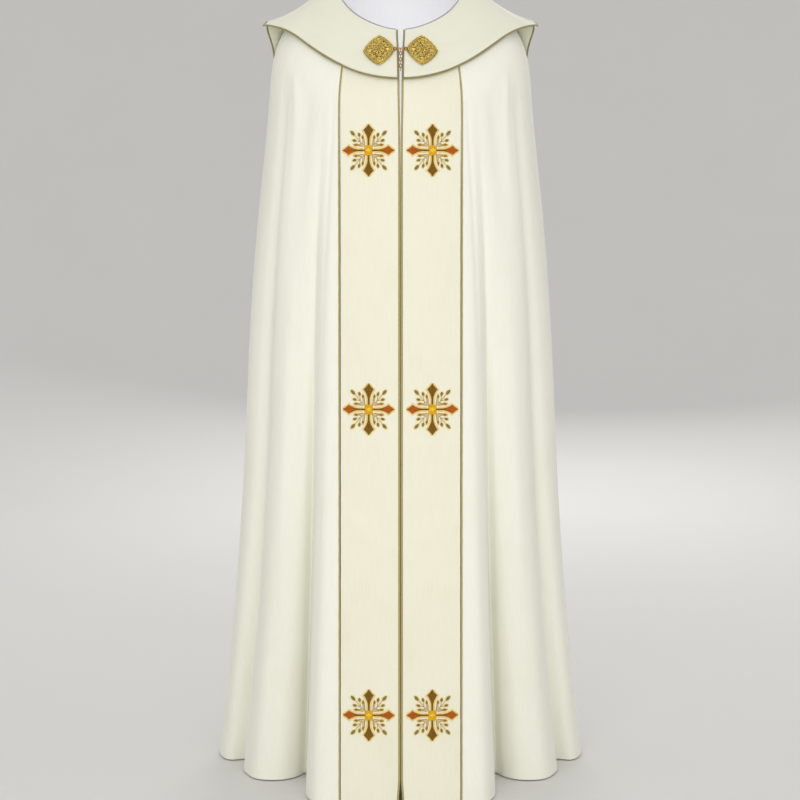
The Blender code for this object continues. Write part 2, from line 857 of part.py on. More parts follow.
def main():
    clear_scene()
    half_gap = SEAM_GAP / 2
    cord_gap = PIPING_RADIUS + SEAM_GAP
    side_seam, band_seam = 2 * LAST - SIDE_SEAM, 2 * LAST - BAND_SEAM
    right = panel_frames(BAND_SEAM, SIDE_SEAM, cord_gap, half_gap)
    back = panel_frames(SIDE_SEAM, side_seam, half_gap, half_gap)
    left = panel_frames(side_seam, band_seam, half_gap, cord_gap)
    add_wall("side_panel_right", right, SIDE_CLOTH)
    add_wall("back_panel", back, SIDE_CLOTH)
    add_wall("side_panel_left", left, SIDE_CLOTH)

    band = band_frames()
    seam_cord = [cloth_point(BAND_SEAM, level) for level in cord_levels(BAND_SEAM)]
    opening_cord = opening_cord_path()
    for name, mirror in (("right", False), ("left", True)):
        add_wall(f"orphrey_{name}", band, BAND_CLOTH, mirror=mirror)
        add_cord(f"band_piping_{name}", seam_cord, PIPING_RADIUS, CORD, mirror)
        add_cord(f"front_piping_{name}", opening_cord, PIPING_RADIUS, CORD, mirror)
        add_plate(name, mirror)

    collar = collar_frames()
    add_wall("cape_collar", collar, SIDE_CLOTH)
    add_cord("collar_piping", collar_cord_path(collar), COLLAR_PIPING_RADIUS, CORD)
    add_wall("lining_yoke", lining_frames(), LINING_CLOTH, thickness=LINING_WALL)
    binding = binding_path()
    add_cord("neck_binding", binding, BINDING_RADIUS, BINDING, resolution=BINDING_RESOLUTION)
    add_links()


if __name__ == "__main__":
    main()
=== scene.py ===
"""The looks of a cope: satin cloth, twisted piping, a filigree clasp and embroidered crosses.

Metres, +Z up. The front faces -Y and "left" is the -X side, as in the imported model.
"""

from __future__ import annotations

import logging
import math
import sys
from collections.abc import Callable, Sequence
from dataclasses import dataclass, field
from enum import Enum

import bpy
import numpy as np
from mathutils import Matrix, Vector
from numpy.typing import ArrayLike, NDArray

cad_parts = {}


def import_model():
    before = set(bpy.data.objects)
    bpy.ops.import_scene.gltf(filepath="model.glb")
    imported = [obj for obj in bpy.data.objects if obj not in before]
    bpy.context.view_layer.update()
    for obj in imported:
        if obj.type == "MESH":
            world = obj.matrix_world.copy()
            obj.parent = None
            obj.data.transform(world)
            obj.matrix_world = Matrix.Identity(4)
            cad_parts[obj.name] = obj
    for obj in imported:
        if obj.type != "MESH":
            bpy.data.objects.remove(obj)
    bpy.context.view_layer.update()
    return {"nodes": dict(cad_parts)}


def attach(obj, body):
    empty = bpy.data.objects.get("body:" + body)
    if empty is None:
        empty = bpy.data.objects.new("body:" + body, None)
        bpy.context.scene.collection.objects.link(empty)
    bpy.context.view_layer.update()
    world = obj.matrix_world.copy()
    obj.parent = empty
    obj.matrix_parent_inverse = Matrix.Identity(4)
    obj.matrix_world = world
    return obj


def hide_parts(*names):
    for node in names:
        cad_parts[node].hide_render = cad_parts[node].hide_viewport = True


Material, Mesh, Object = bpy.types.Material, bpy.types.Mesh, bpy.types.Object
Node, NodeSocket, NodeTree = bpy.types.Node, bpy.types.NodeSocket, bpy.types.NodeTree
Array = NDArray[np.float64]
Inputs = dict[str | int, object]

LOG = logging.getLogger("cope")
BODY = "root"
MM = 0.001
SHARP_ANGLE = math.radians(50)
# Sockets of a colour mix, which share their names with those of the node's other modes
MIX_A, MIX_B, MIX_COLOUR = 6, 7, 2

# Seams and walls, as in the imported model
WALL = 0.002
SEAM_GAP = 0.0003
EDGE_GAP = 0.0001
LINING_WALL = 0.001
CLOTH_THICKNESS = 0.0014
COLLAR_THICKNESS = 0.0018


class Slot(Enum):
    """The record's material slots."""

    SIDE = "ivory_satin"
    BAND = "cream_satin"
    LINING = "white_lining"
    CORD = "olive_gold_cord"
    BINDING = "grey_binding"
    GOLD = "antique_gold"


# Small tools


def linear(hex_colour: str) -> tuple[float, float, float, float]:
    """The linear colour of an sRGB hex value.

    Args:
        hex_colour: six hex digits after a hash sign.

    Returns:
        Red, green, blue and an alpha of 1.
    """
    parts = [int(hex_colour[at : at + 2], 16) / 255 for at in (1, 3, 5)]
    red, green, blue = (p / 12.92 if p <= 0.04045 else ((p + 0.055) / 1.055) ** 2.4 for p in parts)
    return red, green, blue, 1.0


def set_inputs(tree: NodeTree, node: Node, inputs: Inputs) -> None:
    """Links or sets a node's inputs.

    Args:
        tree: the tree that the node is in.
        node: the node.
        inputs: an output socket to link, or a value, for each input's name or number.
    """
    for key, value in inputs.items():
        if isinstance(value, NodeSocket):
            tree.links.new(value, node.inputs[key])
        else:
            node.inputs[key].default_value = value


def add_node(tree: NodeTree, kind: str, inputs: Inputs | None = None, **settings: object) -> Node:
    """A node with its settings and inputs.

    Args:
        tree: the tree that gets it.
        kind: Blender's type name of the node.
        inputs: an output socket to link, or a value, for each input's name or number.
        settings: the node's own properties.

    Returns:
        The node.
    """
    node = tree.nodes.new(kind)
    for name, value in settings.items():
        setattr(node, name, value)
    set_inputs(tree, node, inputs or {})
    return node


def smoothstep(value: ArrayLike) -> Array:
    """0 below 0, 1 above 1, and smooth between them."""
    share = np.clip(value, 0.0, 1.0)
    return share * share * (3 - 2 * share)


def unit(vectors: Array) -> Array:
    """The vectors at length 1."""
    return vectors / np.maximum(np.linalg.norm(vectors, axis=-1, keepdims=True), 1e-12)


def between(low: ArrayLike, high: ArrayLike, share: ArrayLike) -> Array:
    """The value at a share of the way from low to high."""
    return np.asarray(low) + (np.asarray(high) - np.asarray(low)) * share


def matched(first: ArrayLike, second: ArrayLike) -> tuple[Array, Array]:
    """Both values as arrays of one shape."""
    first, second = np.broadcast_arrays(np.asarray(first, float), np.asarray(second, float))
    return first, second


def halve(test: Callable[[Array], Array], low: Array, high: Array, rounds: int = 28) -> Array:
    """Searches by halving.

    Args:
        test: says for each middle value whether the answer lies above it.
        low: where each search starts.
        high: where each search ends.
        rounds: how often the range is halved.

    Returns:
        The middle of each last range.
    """
    for _ in range(rounds):
        middle = (low + high) / 2
        above = test(middle)
        low, high = np.where(above, middle, low), np.where(above, high, middle)
    return (low + high) / 2


def mirrored(points: Array) -> Array:
    """The points on the other side of the centre line."""
    return points * np.array([-1.0, 1.0, 1.0])


# Finishes


def pattern_space(tree: NodeTree, scale: Sequence[float], uv: bool = True) -> NodeSocket:
    """Coordinates for a pattern.

    Args:
        tree: the material's tree.
        scale: how many repeats there are in a metre, along each axis.
        uv: whether they follow the cloth, or else the garment's own axes.

    Returns:
        The vector socket.
    """
    place = add_node(tree, "ShaderNodeTexCoord")
    source = place.outputs["UV" if uv else "Object"]
    return add_node(tree, "ShaderNodeMapping", {"Vector": source, "Scale": tuple(scale)}).outputs[0]


@dataclass(frozen=True)
class Finish:
    """What every finish has: a name and a first colour."""

    name: str
    colour: str

    def start(self) -> tuple[Material, NodeTree, Node]:
        """A new material, its tree and its shader.

        Returns:
            The material, its node tree and its main shader.
        """
        made = bpy.data.materials.new(self.name)
        made.use_nodes = True
        made.diffuse_color = linear(self.colour)
        tree = made.node_tree
        return made, tree, tree.nodes["Principled BSDF"]


@dataclass(frozen=True)
class WovenCloth(Finish):
    """Polyester satin or lining: smooth and close, so the eye gets a soft sheen and hardly any grain.

    The real threads are about 0.15 mm apart, too fine for any render, so the
    weave is drawn at thread_mm, which shows only from close by.
    """

    shade: str
    thread_mm: float = 0.9
    slub_mm: float = 3.0
    slub_length: float = 14.0
    clouds: tuple[float, float, float] = (9.0, 6.0, 1.0)
    handling: tuple[float, float, float] = (38.0, 16.0, 1.0)
    handling_mm: float = 2.2
    roughness: float = 0.52
    sheen: float = 0.25
    weave: float = 0.10

    def build(self) -> Material:
        """The material, with its slubs, weave and soft handling marks.

        Returns:
            The material.
        """
        made, tree, shader = self.start()
        slubs = 1 / (self.slub_mm * MM)
        noises = []
        for scale, detail in (
            ((slubs, slubs / self.slub_length, 1.0), 2.0),
            (self.clouds, 3.0),
            (self.handling, 2.0),
        ):
            inputs: Inputs = {"Vector": pattern_space(tree, scale), "Scale": 1.0, "Detail": detail}
            noises.append(add_node(tree, "ShaderNodeTexNoise", inputs).outputs[0])
        slub, cloud, soft = noises
        tint: object = linear(self.colour)
        for noise, low, high, most in ((slub, 0.25, 0.8, 0.4), (cloud, 0.45, 0.75, 0.35)):
            inputs = {"Value": noise, "From Min": low, "From Max": high, "To Max": most}
            share = add_node(tree, "ShaderNodeMapRange", inputs, interpolation_type="SMOOTHSTEP")
            inputs = {"Factor": share.outputs[0], MIX_A: tint, MIX_B: linear(self.shade)}
            tint = add_node(tree, "ShaderNodeMix", inputs, data_type="RGBA").outputs[MIX_COLOUR]
        inputs = {"Value": slub, "To Min": self.roughness - 0.05, "To Max": self.roughness + 0.06}
        rough = add_node(tree, "ShaderNodeMapRange", inputs)
        threads = []
        for direction, repeat in (("X", 1.0), ("Y", 0.5)):
            count = repeat / (self.thread_mm * MM)
            # A wave texture repeats every 1 / (20 * scale / (2 * pi)) units of its own
            inputs = {
                "Vector": pattern_space(tree, (count, count, 1.0)),
                "Scale": math.tau / 20,
                "Distortion": 0.6,
                "Detail Scale": 0.4,
            }
            wave = add_node(tree, "ShaderNodeTexWave", inputs, bands_direction=direction)
            threads.append(wave.outputs["Fac"])
        both = add_node(tree, "ShaderNodeMath", {0: threads[0], 1: threads[1]}, operation="MULTIPLY")
        inputs = {"Height": both.outputs[0], "Strength": self.weave, "Distance": self.thread_mm * MM * 0.3}
        fine = add_node(tree, "ShaderNodeBump", inputs)
        inputs = {"Height": soft, "Strength": 0.22, "Distance": self.handling_mm * MM}
        inputs["Normal"] = fine.outputs[0]
        bump = add_node(tree, "ShaderNodeBump", inputs)
        inputs = {
            "Base Color": tint,
            "Roughness": rough.outputs[0],
            "Normal": bump.outputs[0],
            "Sheen Weight": self.sheen,
            "Sheen Roughness": 0.45,
            "IOR": 1.46,
        }
        set_inputs(tree, shader, inputs)
        return made


@dataclass(frozen=True)
class SpunThread(Finish):
    """Rayon thread: a low gloss along its length, with darker gaps between its plies."""

    shade: str
    grain_mm: float = 1.4
    roughness: float = 0.42
    sheen: float = 0.3

    def build(self) -> Material:
        """The material, flecked light and dark at the size of its grain.

        Returns:
            The material.
        """
        made, tree, shader = self.start()
        space = pattern_space(tree, (1 / (self.grain_mm * MM),) * 3, uv=False)
        inputs: Inputs = {"Vector": space, "Scale": 1.0, "Detail": 3.0}
        fleck = add_node(tree, "ShaderNodeTexNoise", inputs).outputs[0]
        inputs = {"Value": fleck, "From Min": 0.3, "From Max": 0.7}
        share = add_node(tree, "ShaderNodeMapRange", inputs, interpolation_type="SMOOTHSTEP")
        inputs = {"Factor": share.outputs[0], MIX_A: linear(self.shade), MIX_B: linear(self.colour)}
        base = add_node(tree, "ShaderNodeMix", inputs, data_type="RGBA")
        inputs = {"Value": fleck, "To Min": self.roughness + 0.10, "To Max": self.roughness - 0.10}
        rough = add_node(tree, "ShaderNodeMapRange", inputs)
        bump = add_node(tree, "ShaderNodeBump", {"Height": fleck, "Strength": 0.3, "Distance": 0.2 * MM})
        inputs = {
            "Base Color": base.outputs[MIX_COLOUR],
            "Roughness": rough.outputs[0],
            "Normal": bump.outputs[0],
            "Specular IOR Level": 0.3,
            "Sheen Weight": self.sheen,
        }
        set_inputs(tree, shader, inputs)
        return made


@dataclass(frozen=True)
class GiltMetal(Finish):
    """Gilded brass: worn bright on what stands up, with brown patina in what lies low."""

    patina: str
    patina_share: float = 0.5
    grain_mm: float = 2.2
    roughness: float = 0.3

    def build(self) -> Material:
        """The material, mottled with patina.

        Returns:
            The material.
        """
        made, tree, shader = self.start()
        space = pattern_space(tree, (1 / (self.grain_mm * MM),) * 3, uv=False)
        inputs: Inputs = {"Vector": space, "Scale": 1.0, "Detail": 4.0}
        mottle = add_node(tree, "ShaderNodeTexNoise", inputs).outputs[0]
        clean = 0.62 - self.patina_share * 0.3
        inputs = {"Value": mottle, "From Min": clean, "From Max": clean + 0.3}
        share = add_node(tree, "ShaderNodeMapRange", inputs, interpolation_type="SMOOTHSTEP").outputs[0]
        inputs = {"Factor": share, MIX_A: linear(self.colour), MIX_B: linear(self.patina)}
        base = add_node(tree, "ShaderNodeMix", inputs, data_type="RGBA")
        inputs = {"Value": share, "To Min": self.roughness, "To Max": self.roughness + 0.25}
        rough = add_node(tree, "ShaderNodeMapRange", inputs)
        bump = add_node(tree, "ShaderNodeBump", {"Height": mottle, "Strength": 0.35, "Distance": 0.3 * MM})
        inputs = {
            "Base Color": base.outputs[MIX_COLOUR],
            "Roughness": rough.outputs[0],
            "Normal": bump.outputs[0],
            "Metallic": 1.0,
        }
        set_inputs(tree, shader, inputs)
        return made


@dataclass(frozen=True)
class StudioPaper(Finish):
    """Matt background paper, with a faint unevenness."""

    shade: str

    def build(self) -> Material:
        """The material.

        Returns:
            The material.
        """
        made, tree, shader = self.start()
        space = pattern_space(tree, (2.0, 2.0, 2.0), uv=False)
        cloud = add_node(tree, "ShaderNodeTexNoise", {"Vector": space, "Scale": 1.0, "Detail": 2.0})
        inputs: Inputs = {"Factor": cloud.outputs[0], MIX_A: linear(self.colour), MIX_B: linear(self.shade)}
        base = add_node(tree, "ShaderNodeMix", inputs, data_type="RGBA")
        set_inputs(tree, shader, {"Base Color": base.outputs[MIX_COLOUR], "Roughness": 0.9})
        return made


# The hanging cloth


@dataclass(frozen=True)
class Fold:
    """One crest, valley or flank of the hanging cloth.

    The bearing, in degrees from the front, places it on the shoulders, and the
    other two are its place at the hem.
    """

    name: str
    bearing: float
    hem_x: float
    hem_y: float


BAND_HALF_WIDTH = 0.111
FOLDS = (
    Fold("centre front", 0.0, 0.000, -0.246),
    Fold("band seam", 21.0, BAND_HALF_WIDTH, -0.242),
    Fold("front crest", 24.6, 0.155, -0.232),
    Fold("front corner", 26.8, 0.172, -0.196),
    Fold("front return", 28.8, 0.172, -0.120),
    Fold("first valley", 30.3, 0.184, -0.052),
    Fold("middle rise", 33.2, 0.199, -0.078),
    Fold("middle crest", 38.0, 0.224, -0.096),
    Fold("middle crest end", 45.5, 0.266, -0.095),
    Fold("middle fall", 50.5, 0.300, -0.040),
    Fold("second valley", 54.3, 0.305, 0.040),
    Fold("side rise", 62.5, 0.334, 0.034),
    Fold("side crest", 82.0, 0.357, 0.072),
    Fold("side line", 94.0, 0.355, 0.116),
    Fold("side fall", 102.0, 0.328, 0.152),
    Fold("third valley", 110.0, 0.276, 0.146),
    Fold("shoulder rise", 116.0, 0.268, 0.200),
    Fold("shoulder crest", 124.0, 0.286, 0.256),
    Fold("shoulder crest end", 132.0, 0.236, 0.288),
    Fold("fourth valley", 140.0, 0.192, 0.216),
    Fold("back rise", 146.0, 0.166, 0.256),
    Fold("back crest", 152.0, 0.158, 0.312),
    Fold("back crest end", 158.0, 0.112, 0.322),
    Fold("fifth valley", 165.0, 0.084, 0.240),
    Fold("centre rise", 170.0, 0.060, 0.290),
    Fold("centre crest", 175.0, 0.030, 0.318),
    Fold("centre back", 180.0, 0.000, 0.322),
)
BAND_SEAM = 1
SIDE_SEAM = 13
LAST = len(FOLDS) - 1
RING = 2 * LAST


@dataclass(frozen=True)
class Crease:
    """A soft ridge, or a trough where its depth is below 0, down the cloth.

    It runs from top to bottom, in levels, and wanders from its place by drift.
    """

    place: float
    drift: float
    top: float
    bottom: float
    half_width: float
    depth: float


# Right-hand side, round the back, and up the left-hand side, from the front
CREASE_TABLE = (
    (2.4, 0.5, 0.80, 1.55, 0.50, -0.0018),
    (3.2, -0.3, 1.20, 2.05, 0.45, 0.0016),
    (6.9, 0.9, 0.72, 1.30, 0.60, -0.0030),
    (7.4, 0.5, 1.15, 1.95, 0.40, 0.0022),
    (8.1, -0.4, 1.45, 2.10, 0.35, -0.0018),
    (9.3, -1.2, 0.62, 1.18, 0.55, 0.0028),
    (10.7, -0.6, 0.66, 1.35, 0.50, -0.0024),
    (11.6, 0.3, 1.10, 1.70, 0.40, 0.0022),
    (12.3, -0.3, 1.40, 2.10, 0.35, -0.0020),
    (14.3, 0.5, 1.05, 1.75, 0.50, 0.0026),
    (16.2, -0.4, 1.25, 2.10, 0.40, -0.0022),
    (18.0, 0.4, 1.30, 2.05, 0.45, 0.0024),
    (20.4, -0.3, 1.25, 1.80, 0.45, -0.0024),
    (22.3, 0.3, 1.35, 2.10, 0.40, 0.0022),
    (24.6, -0.4, 1.20, 1.85, 0.45, -0.0020),
    (26.4, 0.5, 1.30, 2.10, 0.50, 0.0020),
    (28.2, 0.3, 1.22, 1.90, 0.40, -0.0024),
    (30.6, -0.4, 1.35, 2.10, 0.45, 0.0022),
    (32.8, 0.4, 1.20, 1.70, 0.45, -0.0022),
    (34.6, -0.3, 1.30, 2.10, 0.40, 0.0026),
    (36.9, 0.4, 1.15, 1.80, 0.45, -0.0022),
    (38.2, -0.4, 1.05, 1.90, 0.45, 0.0024),
    (39.8, 0.4, 1.35, 2.10, 0.35, -0.0018),
    (40.6, -0.3, 1.05, 1.65, 0.40, 0.0024),
    (41.4, 0.6, 0.66, 1.38, 0.50, -0.0026),
    (42.8, 1.3, 0.62, 1.16, 0.55, 0.0030),
    (43.9, 0.4, 1.40, 2.10, 0.35, -0.0020),
    (44.6, -0.6, 1.10, 1.90, 0.40, 0.0020),
    (45.0, -0.8, 0.72, 1.34, 0.60, -0.0028),
    (48.8, 0.3, 1.25, 2.05, 0.45, 0.0018),
    (49.5, -0.5, 0.80, 1.50, 0.50, -0.0018),
)
CREASES = tuple(Crease(*row) for row in CREASE_TABLE)


@dataclass(frozen=True)
class Dent:
    """A soft slanting mark across a front band, where it was folded for storage."""

    x: float
    z: float
    slant: float
    half_length: float
    half_width: float
    depth: float


DENTS = (
    Dent(0.062, -0.520, 0.75, 0.060, 0.016, -0.0011),
    Dent(0.050, -0.565, 0.62, 0.050, 0.014, 0.0008),
    Dent(0.060, -0.955, 0.85, 0.070, 0.020, -0.0013),
    Dent(0.045, -1.010, 0.70, 0.060, 0.018, 0.0010),
    Dent(-0.062, -0.528, -0.70, 0.058, 0.016, -0.0011),
    Dent(-0.052, -0.575, -0.66, 0.050, 0.013, 0.0008),
    Dent(-0.058, -0.962, -0.80, 0.066, 0.020, -0.0013),
    Dent(-0.048, -1.018, -0.72, 0.056, 0.018, 0.0010),
    Dent(0.060, -0.225, 0.25, 0.060, 0.020, -0.0008),
    Dent(-0.060, -0.222, -0.25, 0.060, 0.020, -0.0008),
)


@dataclass(frozen=True)
class Neckline:
    """The edge of the neck opening, low in front."""

    half_width: float = 0.120
    front: float = 0.120
    back: float = 0.082
    front_drop: float = 0.095
    back_rise: float = 0.006
    drop_power: float = 1.25
    spread_power: float = 0.41


@dataclass(frozen=True)
class Shoulders:
    """The cloth from the neckline down to where it hangs free."""

    chest_height: float = -0.240
    half_width: float = 0.245
    front: float = 0.166
    back: float = 0.165
    power: float = 2.35
    side_slope: float = 0.65
    front_slope: float = 2.30
    back_slope: float = 0.80
    corner: float = 0.97
    tightness: float = 0.88


@dataclass(frozen=True)
class Fall:
    """The cloth from there to the hem."""

    hem_height: float = -1.490
    half_width: float = 0.278
    widening_share: float = 0.4
    flare_power: float = 2.0
    depth_power: float = 1.5


@dataclass(frozen=True)
class Drape:
    """The hanging cloth's middle surface.

    A place counts FOLDS round the garment from the centre front, by the right,
    to RING. A level is 0 at the neckline, 1 at the chest and 2 at the hem.
    """

    neck: Neckline = field(default_factory=Neckline)
    shoulders: Shoulders = field(default_factory=Shoulders)
    fall: Fall = field(default_factory=Fall)
    blend_reach: float = 0.30
    blend_step: float = 0.065
    pucker_spacing: float = 0.041
    pucker_depth: float = 0.00045
    pucker_reach: float = 0.9
    pucker_fade: float = 3.0
    pucker_wander: float = 1.7
    wander_pace: float = 1.31
    pucker_start: float = 0.95
    pucker_run: float = 0.2
    dent_front: float = 0.1
    place_step: float = 0.02
    level_step: float = 0.004
    measure_points: int = 401

    def section(self, index: Array, half_width: ArrayLike) -> tuple[Array, Array]:
        """Points of the smooth outline that the cloth has above its folds.

        Args:
            index: which folds.
            half_width: the outline's half width at each.

        Returns:
            Their x and y.
        """
        size = self.shoulders
        angle = np.radians(np.array([fold.bearing for fold in FOLDS])[index])
        seam = np.arcsin((BAND_HALF_WIDTH / half_width) ** (size.power / 2))
        angle = np.where(index == BAND_SEAM, seam, angle)
        across = np.abs(np.sin(angle)) ** (2 / size.power)
        along = np.abs(np.cos(angle)) ** (2 / size.power)
        depth = np.where(np.cos(angle) > 0, -size.front, size.back)
        return half_width * across, depth * along

    def neck_bearing(self, bearing: Array) -> Array:
        """Where a line down the cloth starts on the neckline."""
        front = 90.0 * (np.clip(bearing, 1e-9, 90.0) / 90.0) ** self.neck.spread_power
        return np.where(bearing >= 90.0, bearing, front)

    def cap_points(self, index: Array, share: Array) -> Array:
        """Points of the folds' lines from the neckline at 0 to the chest at 1.

        Args:
            index: which folds.
            share: how far down each line.

        Returns:
            The points.
        """
        neck, size = self.neck, self.shoulders
        bearing = np.array([fold.bearing for fold in FOLDS])[index]
        start_bearing = self.neck_bearing(bearing)
        angle = np.radians(start_bearing)
        front = np.cos(angle)
        ahead = np.clip(front, 0.0, 1.0)
        depth = np.where(front > 0, -neck.front * front, -neck.back * front)
        drop = np.where(front > 0, -neck.front_drop * ahead**neck.drop_power, -neck.back_rise * front)
        top = np.stack([neck.half_width * np.sin(angle), depth, drop], -1)
        x, y = self.section(index, np.full(index.shape, size.half_width))
        chest = np.stack([x, y, np.full(index.shape, size.chest_height)], -1)
        run = (chest - top)[..., :2] * size.corner
        facing = np.cos(np.radians((bearing + start_bearing) / 2))
        steepest = np.where(facing > 0, size.front_slope, size.back_slope)
        slope = between(size.side_slope, steepest, facing * facing)
        length = np.linalg.norm(run, axis=-1)
        corner = top + np.concatenate([run, -(slope * length)[..., None]], -1)
        start = between(top, corner, size.tightness)
        end = between(chest, corner, size.tightness)
        share = share[..., None]
        rest = 1 - share
        return top * rest**3 + start * (3 * rest**2 * share) + end * (3 * rest * share**2) + chest * share**3

    def fall_points(self, index: Array, share: Array) -> Array:
        """Points of the folds' lines from the chest at 0 to the hem at 1.

        Args:
            index: which folds.
            share: how far down each line.

        Returns:
            The points.
        """
        size = self.fall
        widening = 1 - (1 - np.minimum(1.0, share / size.widening_share)) ** 2
        half_width = between(self.shoulders.half_width, size.half_width, widening)
        smooth_x, smooth_y = self.section(index, half_width)
        hem = np.array([(fold.hem_x, fold.hem_y) for fold in FOLDS])[index]
        x = between(smooth_x, hem[..., 0], share**size.flare_power)
        y = between(smooth_y, hem[..., 1], share**size.depth_power)
        return np.stack([x, y, between(self.shoulders.chest_height, size.hem_height, share)], -1)

    def knots(self, index: Array, level: Array) -> Array:
        """Points of the folds' lines, whose count runs on round the garment.

        Args:
            index: folds' numbers, which may lie past RING or below 0.
            level: their levels.

        Returns:
            The points.
        """
        index = np.mod(index, RING)
        far = index > LAST
        near = np.where(far, RING - index, index)
        cap = self.cap_points(near, np.clip(level, 0.0, 1.0))
        fall = self.fall_points(near, np.clip(level - 1, 0.0, 1.0))
        points = np.where((level <= 1)[..., None], cap, fall)
        points[..., 0] *= np.where(far, -1.0, 1.0)
        return points

    def plain(self, place: Array, level: Array) -> Array:
        """The cloth through the folds' lines, with no creases.

        Args:
            place: places.
            level: their levels.

        Returns:
            The points.
        """
        index = np.floor(place).astype(int)
        share = (place - index)[..., None]
        before, here, there, after = (self.knots(index + step, level) for step in (-1, 0, 1, 2))
        # A spline through four lines' points, whose tangents allow for uneven distances
        first, second, third = here - before, there - here, after - there
        a, b, c = (np.linalg.norm(part, axis=-1, keepdims=True) for part in (first, second, third))
        leave = (first / a * b + second / b * a) / (a + b) * b
        arrive = (second / b * c + third / c * b) / (b + c) * b
        return (
            here * (2 * share**3 - 3 * share**2 + 1)
            + leave * (share**3 - 2 * share**2 + share)
            + there * (3 * share**2 - 2 * share**3)
            + arrive * (share**3 - share**2)
        )

    def smooth(self, place: ArrayLike, level: ArrayLike) -> Array:
        """The cloth with its bend at the chest softened.

        Args:
            place: places.
            level: their levels.

        Returns:
            The points.
        """
        place, level = matched(place, level)
        nearness = np.clip(1 - ((level - 1) / self.blend_reach) ** 2, 0.0, 1.0) ** 2
        total = np.zeros((*place.shape, 3))
        for step, weight in ((-2, 0.1), (-1, 0.2), (0, 0.4), (1, 0.2), (2, 0.1)):
            total += weight * self.plain(place, level + step * self.blend_step * nearness)
        return total

    def frame(self, place: ArrayLike, level: ArrayLike) -> tuple[Array, Array, Array, Array]:
        """The cloth's frame, with no creases.

        Args:
            place: one or more places.
            level: their levels.

        Returns:
            Point, outward normal, step round the body for a unit of width, and unit step down.
        """
        place, level = matched(place, level)
        ahead, behind = (self.smooth(place + step, level) for step in (self.place_step, -self.place_step))
        low, high = (np.clip(level + step, 0.0, 2.0) for step in (-self.level_step, self.level_step))
        around = ahead - behind
        down = self.smooth(place, high) - self.smooth(place, low)
        normal = unit(np.cross(down, around))
        down = unit(down)
        across = np.cross(normal, down)
        width = np.sum(around * across, -1, keepdims=True)
        return self.smooth(place, level), normal, around / width, down

    def crease_height(self, place: Array, level: Array, point: Array) -> Array:
        """How far the creases, puckers and dents move the cloth out.

        Args:
            place: places.
            level: their levels.
            point: the smooth cloth's points there.

        Returns:
            Heights over the smooth cloth.
        """
        height = np.zeros(place.shape)
        for crease in CREASES:
            share = (level - crease.top) / (crease.bottom - crease.top)
            inside = np.sin(np.pi * np.clip(share, 0.0, 1.0)) ** 2
            middle = crease.place + crease.drift * share
            across = (place - middle) / crease.half_width
            height += crease.depth * inside * np.exp(-across * across)
        along = point[..., 2] / self.pucker_spacing
        below_chest = smoothstep((level - self.pucker_start) / self.pucker_run)
        for seam in (BAND_SEAM, RING - BAND_SEAM):
            near = np.exp(-(((place - seam) / self.pucker_reach) ** 2) * self.pucker_fade)
            wander = self.pucker_wander * np.sin(along * self.wander_pace + seam)
            height += self.pucker_depth * near * np.sin(math.tau * along + wander) * below_chest
        front = smoothstep(-point[..., 1] / self.dent_front)
        for dent in DENTS:
            x, z = point[..., 0] - dent.x, point[..., 2] - dent.z
            turn = 1 / math.hypot(1.0, dent.slant)
            along = (x + z * dent.slant) * turn / dent.half_length
            across = (z - x * dent.slant) * turn / dent.half_width
            height += dent.depth * front * np.exp(-along * along - across * across)
        return height

    def creased(self, place: ArrayLike, level: ArrayLike) -> tuple[Array, Array]:
        """The cloth's points and outward normals, creases included.

        Args:
            place: places.
            level: their levels.

        Returns:
            Points and outward normals.
        """
        point, normal, _, _ = self.frame(place, level)
        place, level = matched(place, level)
        return point + normal * self.crease_height(place, level, point)[..., None], normal

    def level_at_height(self, place: ArrayLike, height: ArrayLike) -> Array:
        """The levels at which the cloth at some places reaches some heights."""
        place, height = matched(place, height)
        start, end = np.zeros(place.shape), np.full(place.shape, 2.0)
        return halve(lambda level: self.smooth(place, level)[..., 2] > height, start, end)

    def place_at_half_width(self, level: ArrayLike, half_width: ArrayLike) -> Array:
        """The places on the right-hand band at which the cloth is this far from the centre."""
        level, half_width = matched(level, half_width)
        start, end = np.zeros(level.shape), np.ones(level.shape)
        return halve(lambda place: self.smooth(place, level)[..., 0] < half_width, start, end)

    def level_down(self, place: float, distance: float) -> float:
        """The level at a distance down the cloth from the neckline.

        Args:
            place: the line's place.
            distance: how far down it.

        Returns:
            The level.
        """
        levels = np.linspace(0.0, 1.0, self.measure_points)
        points = self.smooth(place, levels)
        run = np.concatenate([[0.0], np.cumsum(np.linalg.norm(np.diff(points, axis=0), axis=1))])
        return float(np.interp(distance, run, levels))


@dataclass(frozen=True)
class Opening:
    """Half the width of the opening between its cords' centres, at heights down the front."""

    heights: tuple[float, ...] = (-0.095, -0.140, -0.185, -0.310, -1.440, -1.490)
    half_widths: tuple[float, ...] = (0.0062, 0.0044, 0.0037, 0.0022, 0.0022, 0.0050)

    def half_width(self, height: Array) -> Array:
        """Half the distance between the two cords at some heights.

        Args:
            height: the heights.

        Returns:
            Half the distance at each.
        """
        found = np.full(np.shape(height), self.half_widths[-1])
        for at in range(len(self.heights) - 2, -1, -1):
            upper, lower = self.heights[at], self.heights[at + 1]
            share = smoothstep((upper - height) / (upper - lower))
            here = between(self.half_widths[at], self.half_widths[at + 1], share)
            found = np.where(height >= lower, here, found)
        return found


DRAPE = Drape()
OPENING = Opening()
PIPING_RADIUS = 0.0020
CORD_FILLER = 0.90
COLLAR_PIPING_RADIUS = 0.0018
COLLAR_PIPING_GAP = 0.0004


def body_levels(cap_rows: int, fall_rows: int) -> Array:
    """Levels from the neckline to the hem, evenly spaced in each of the two parts."""
    cap = np.linspace(0.0, 1.0, cap_rows, endpoint=False)
    return np.concatenate([cap, np.linspace(1.0, 2.0, fall_rows)])


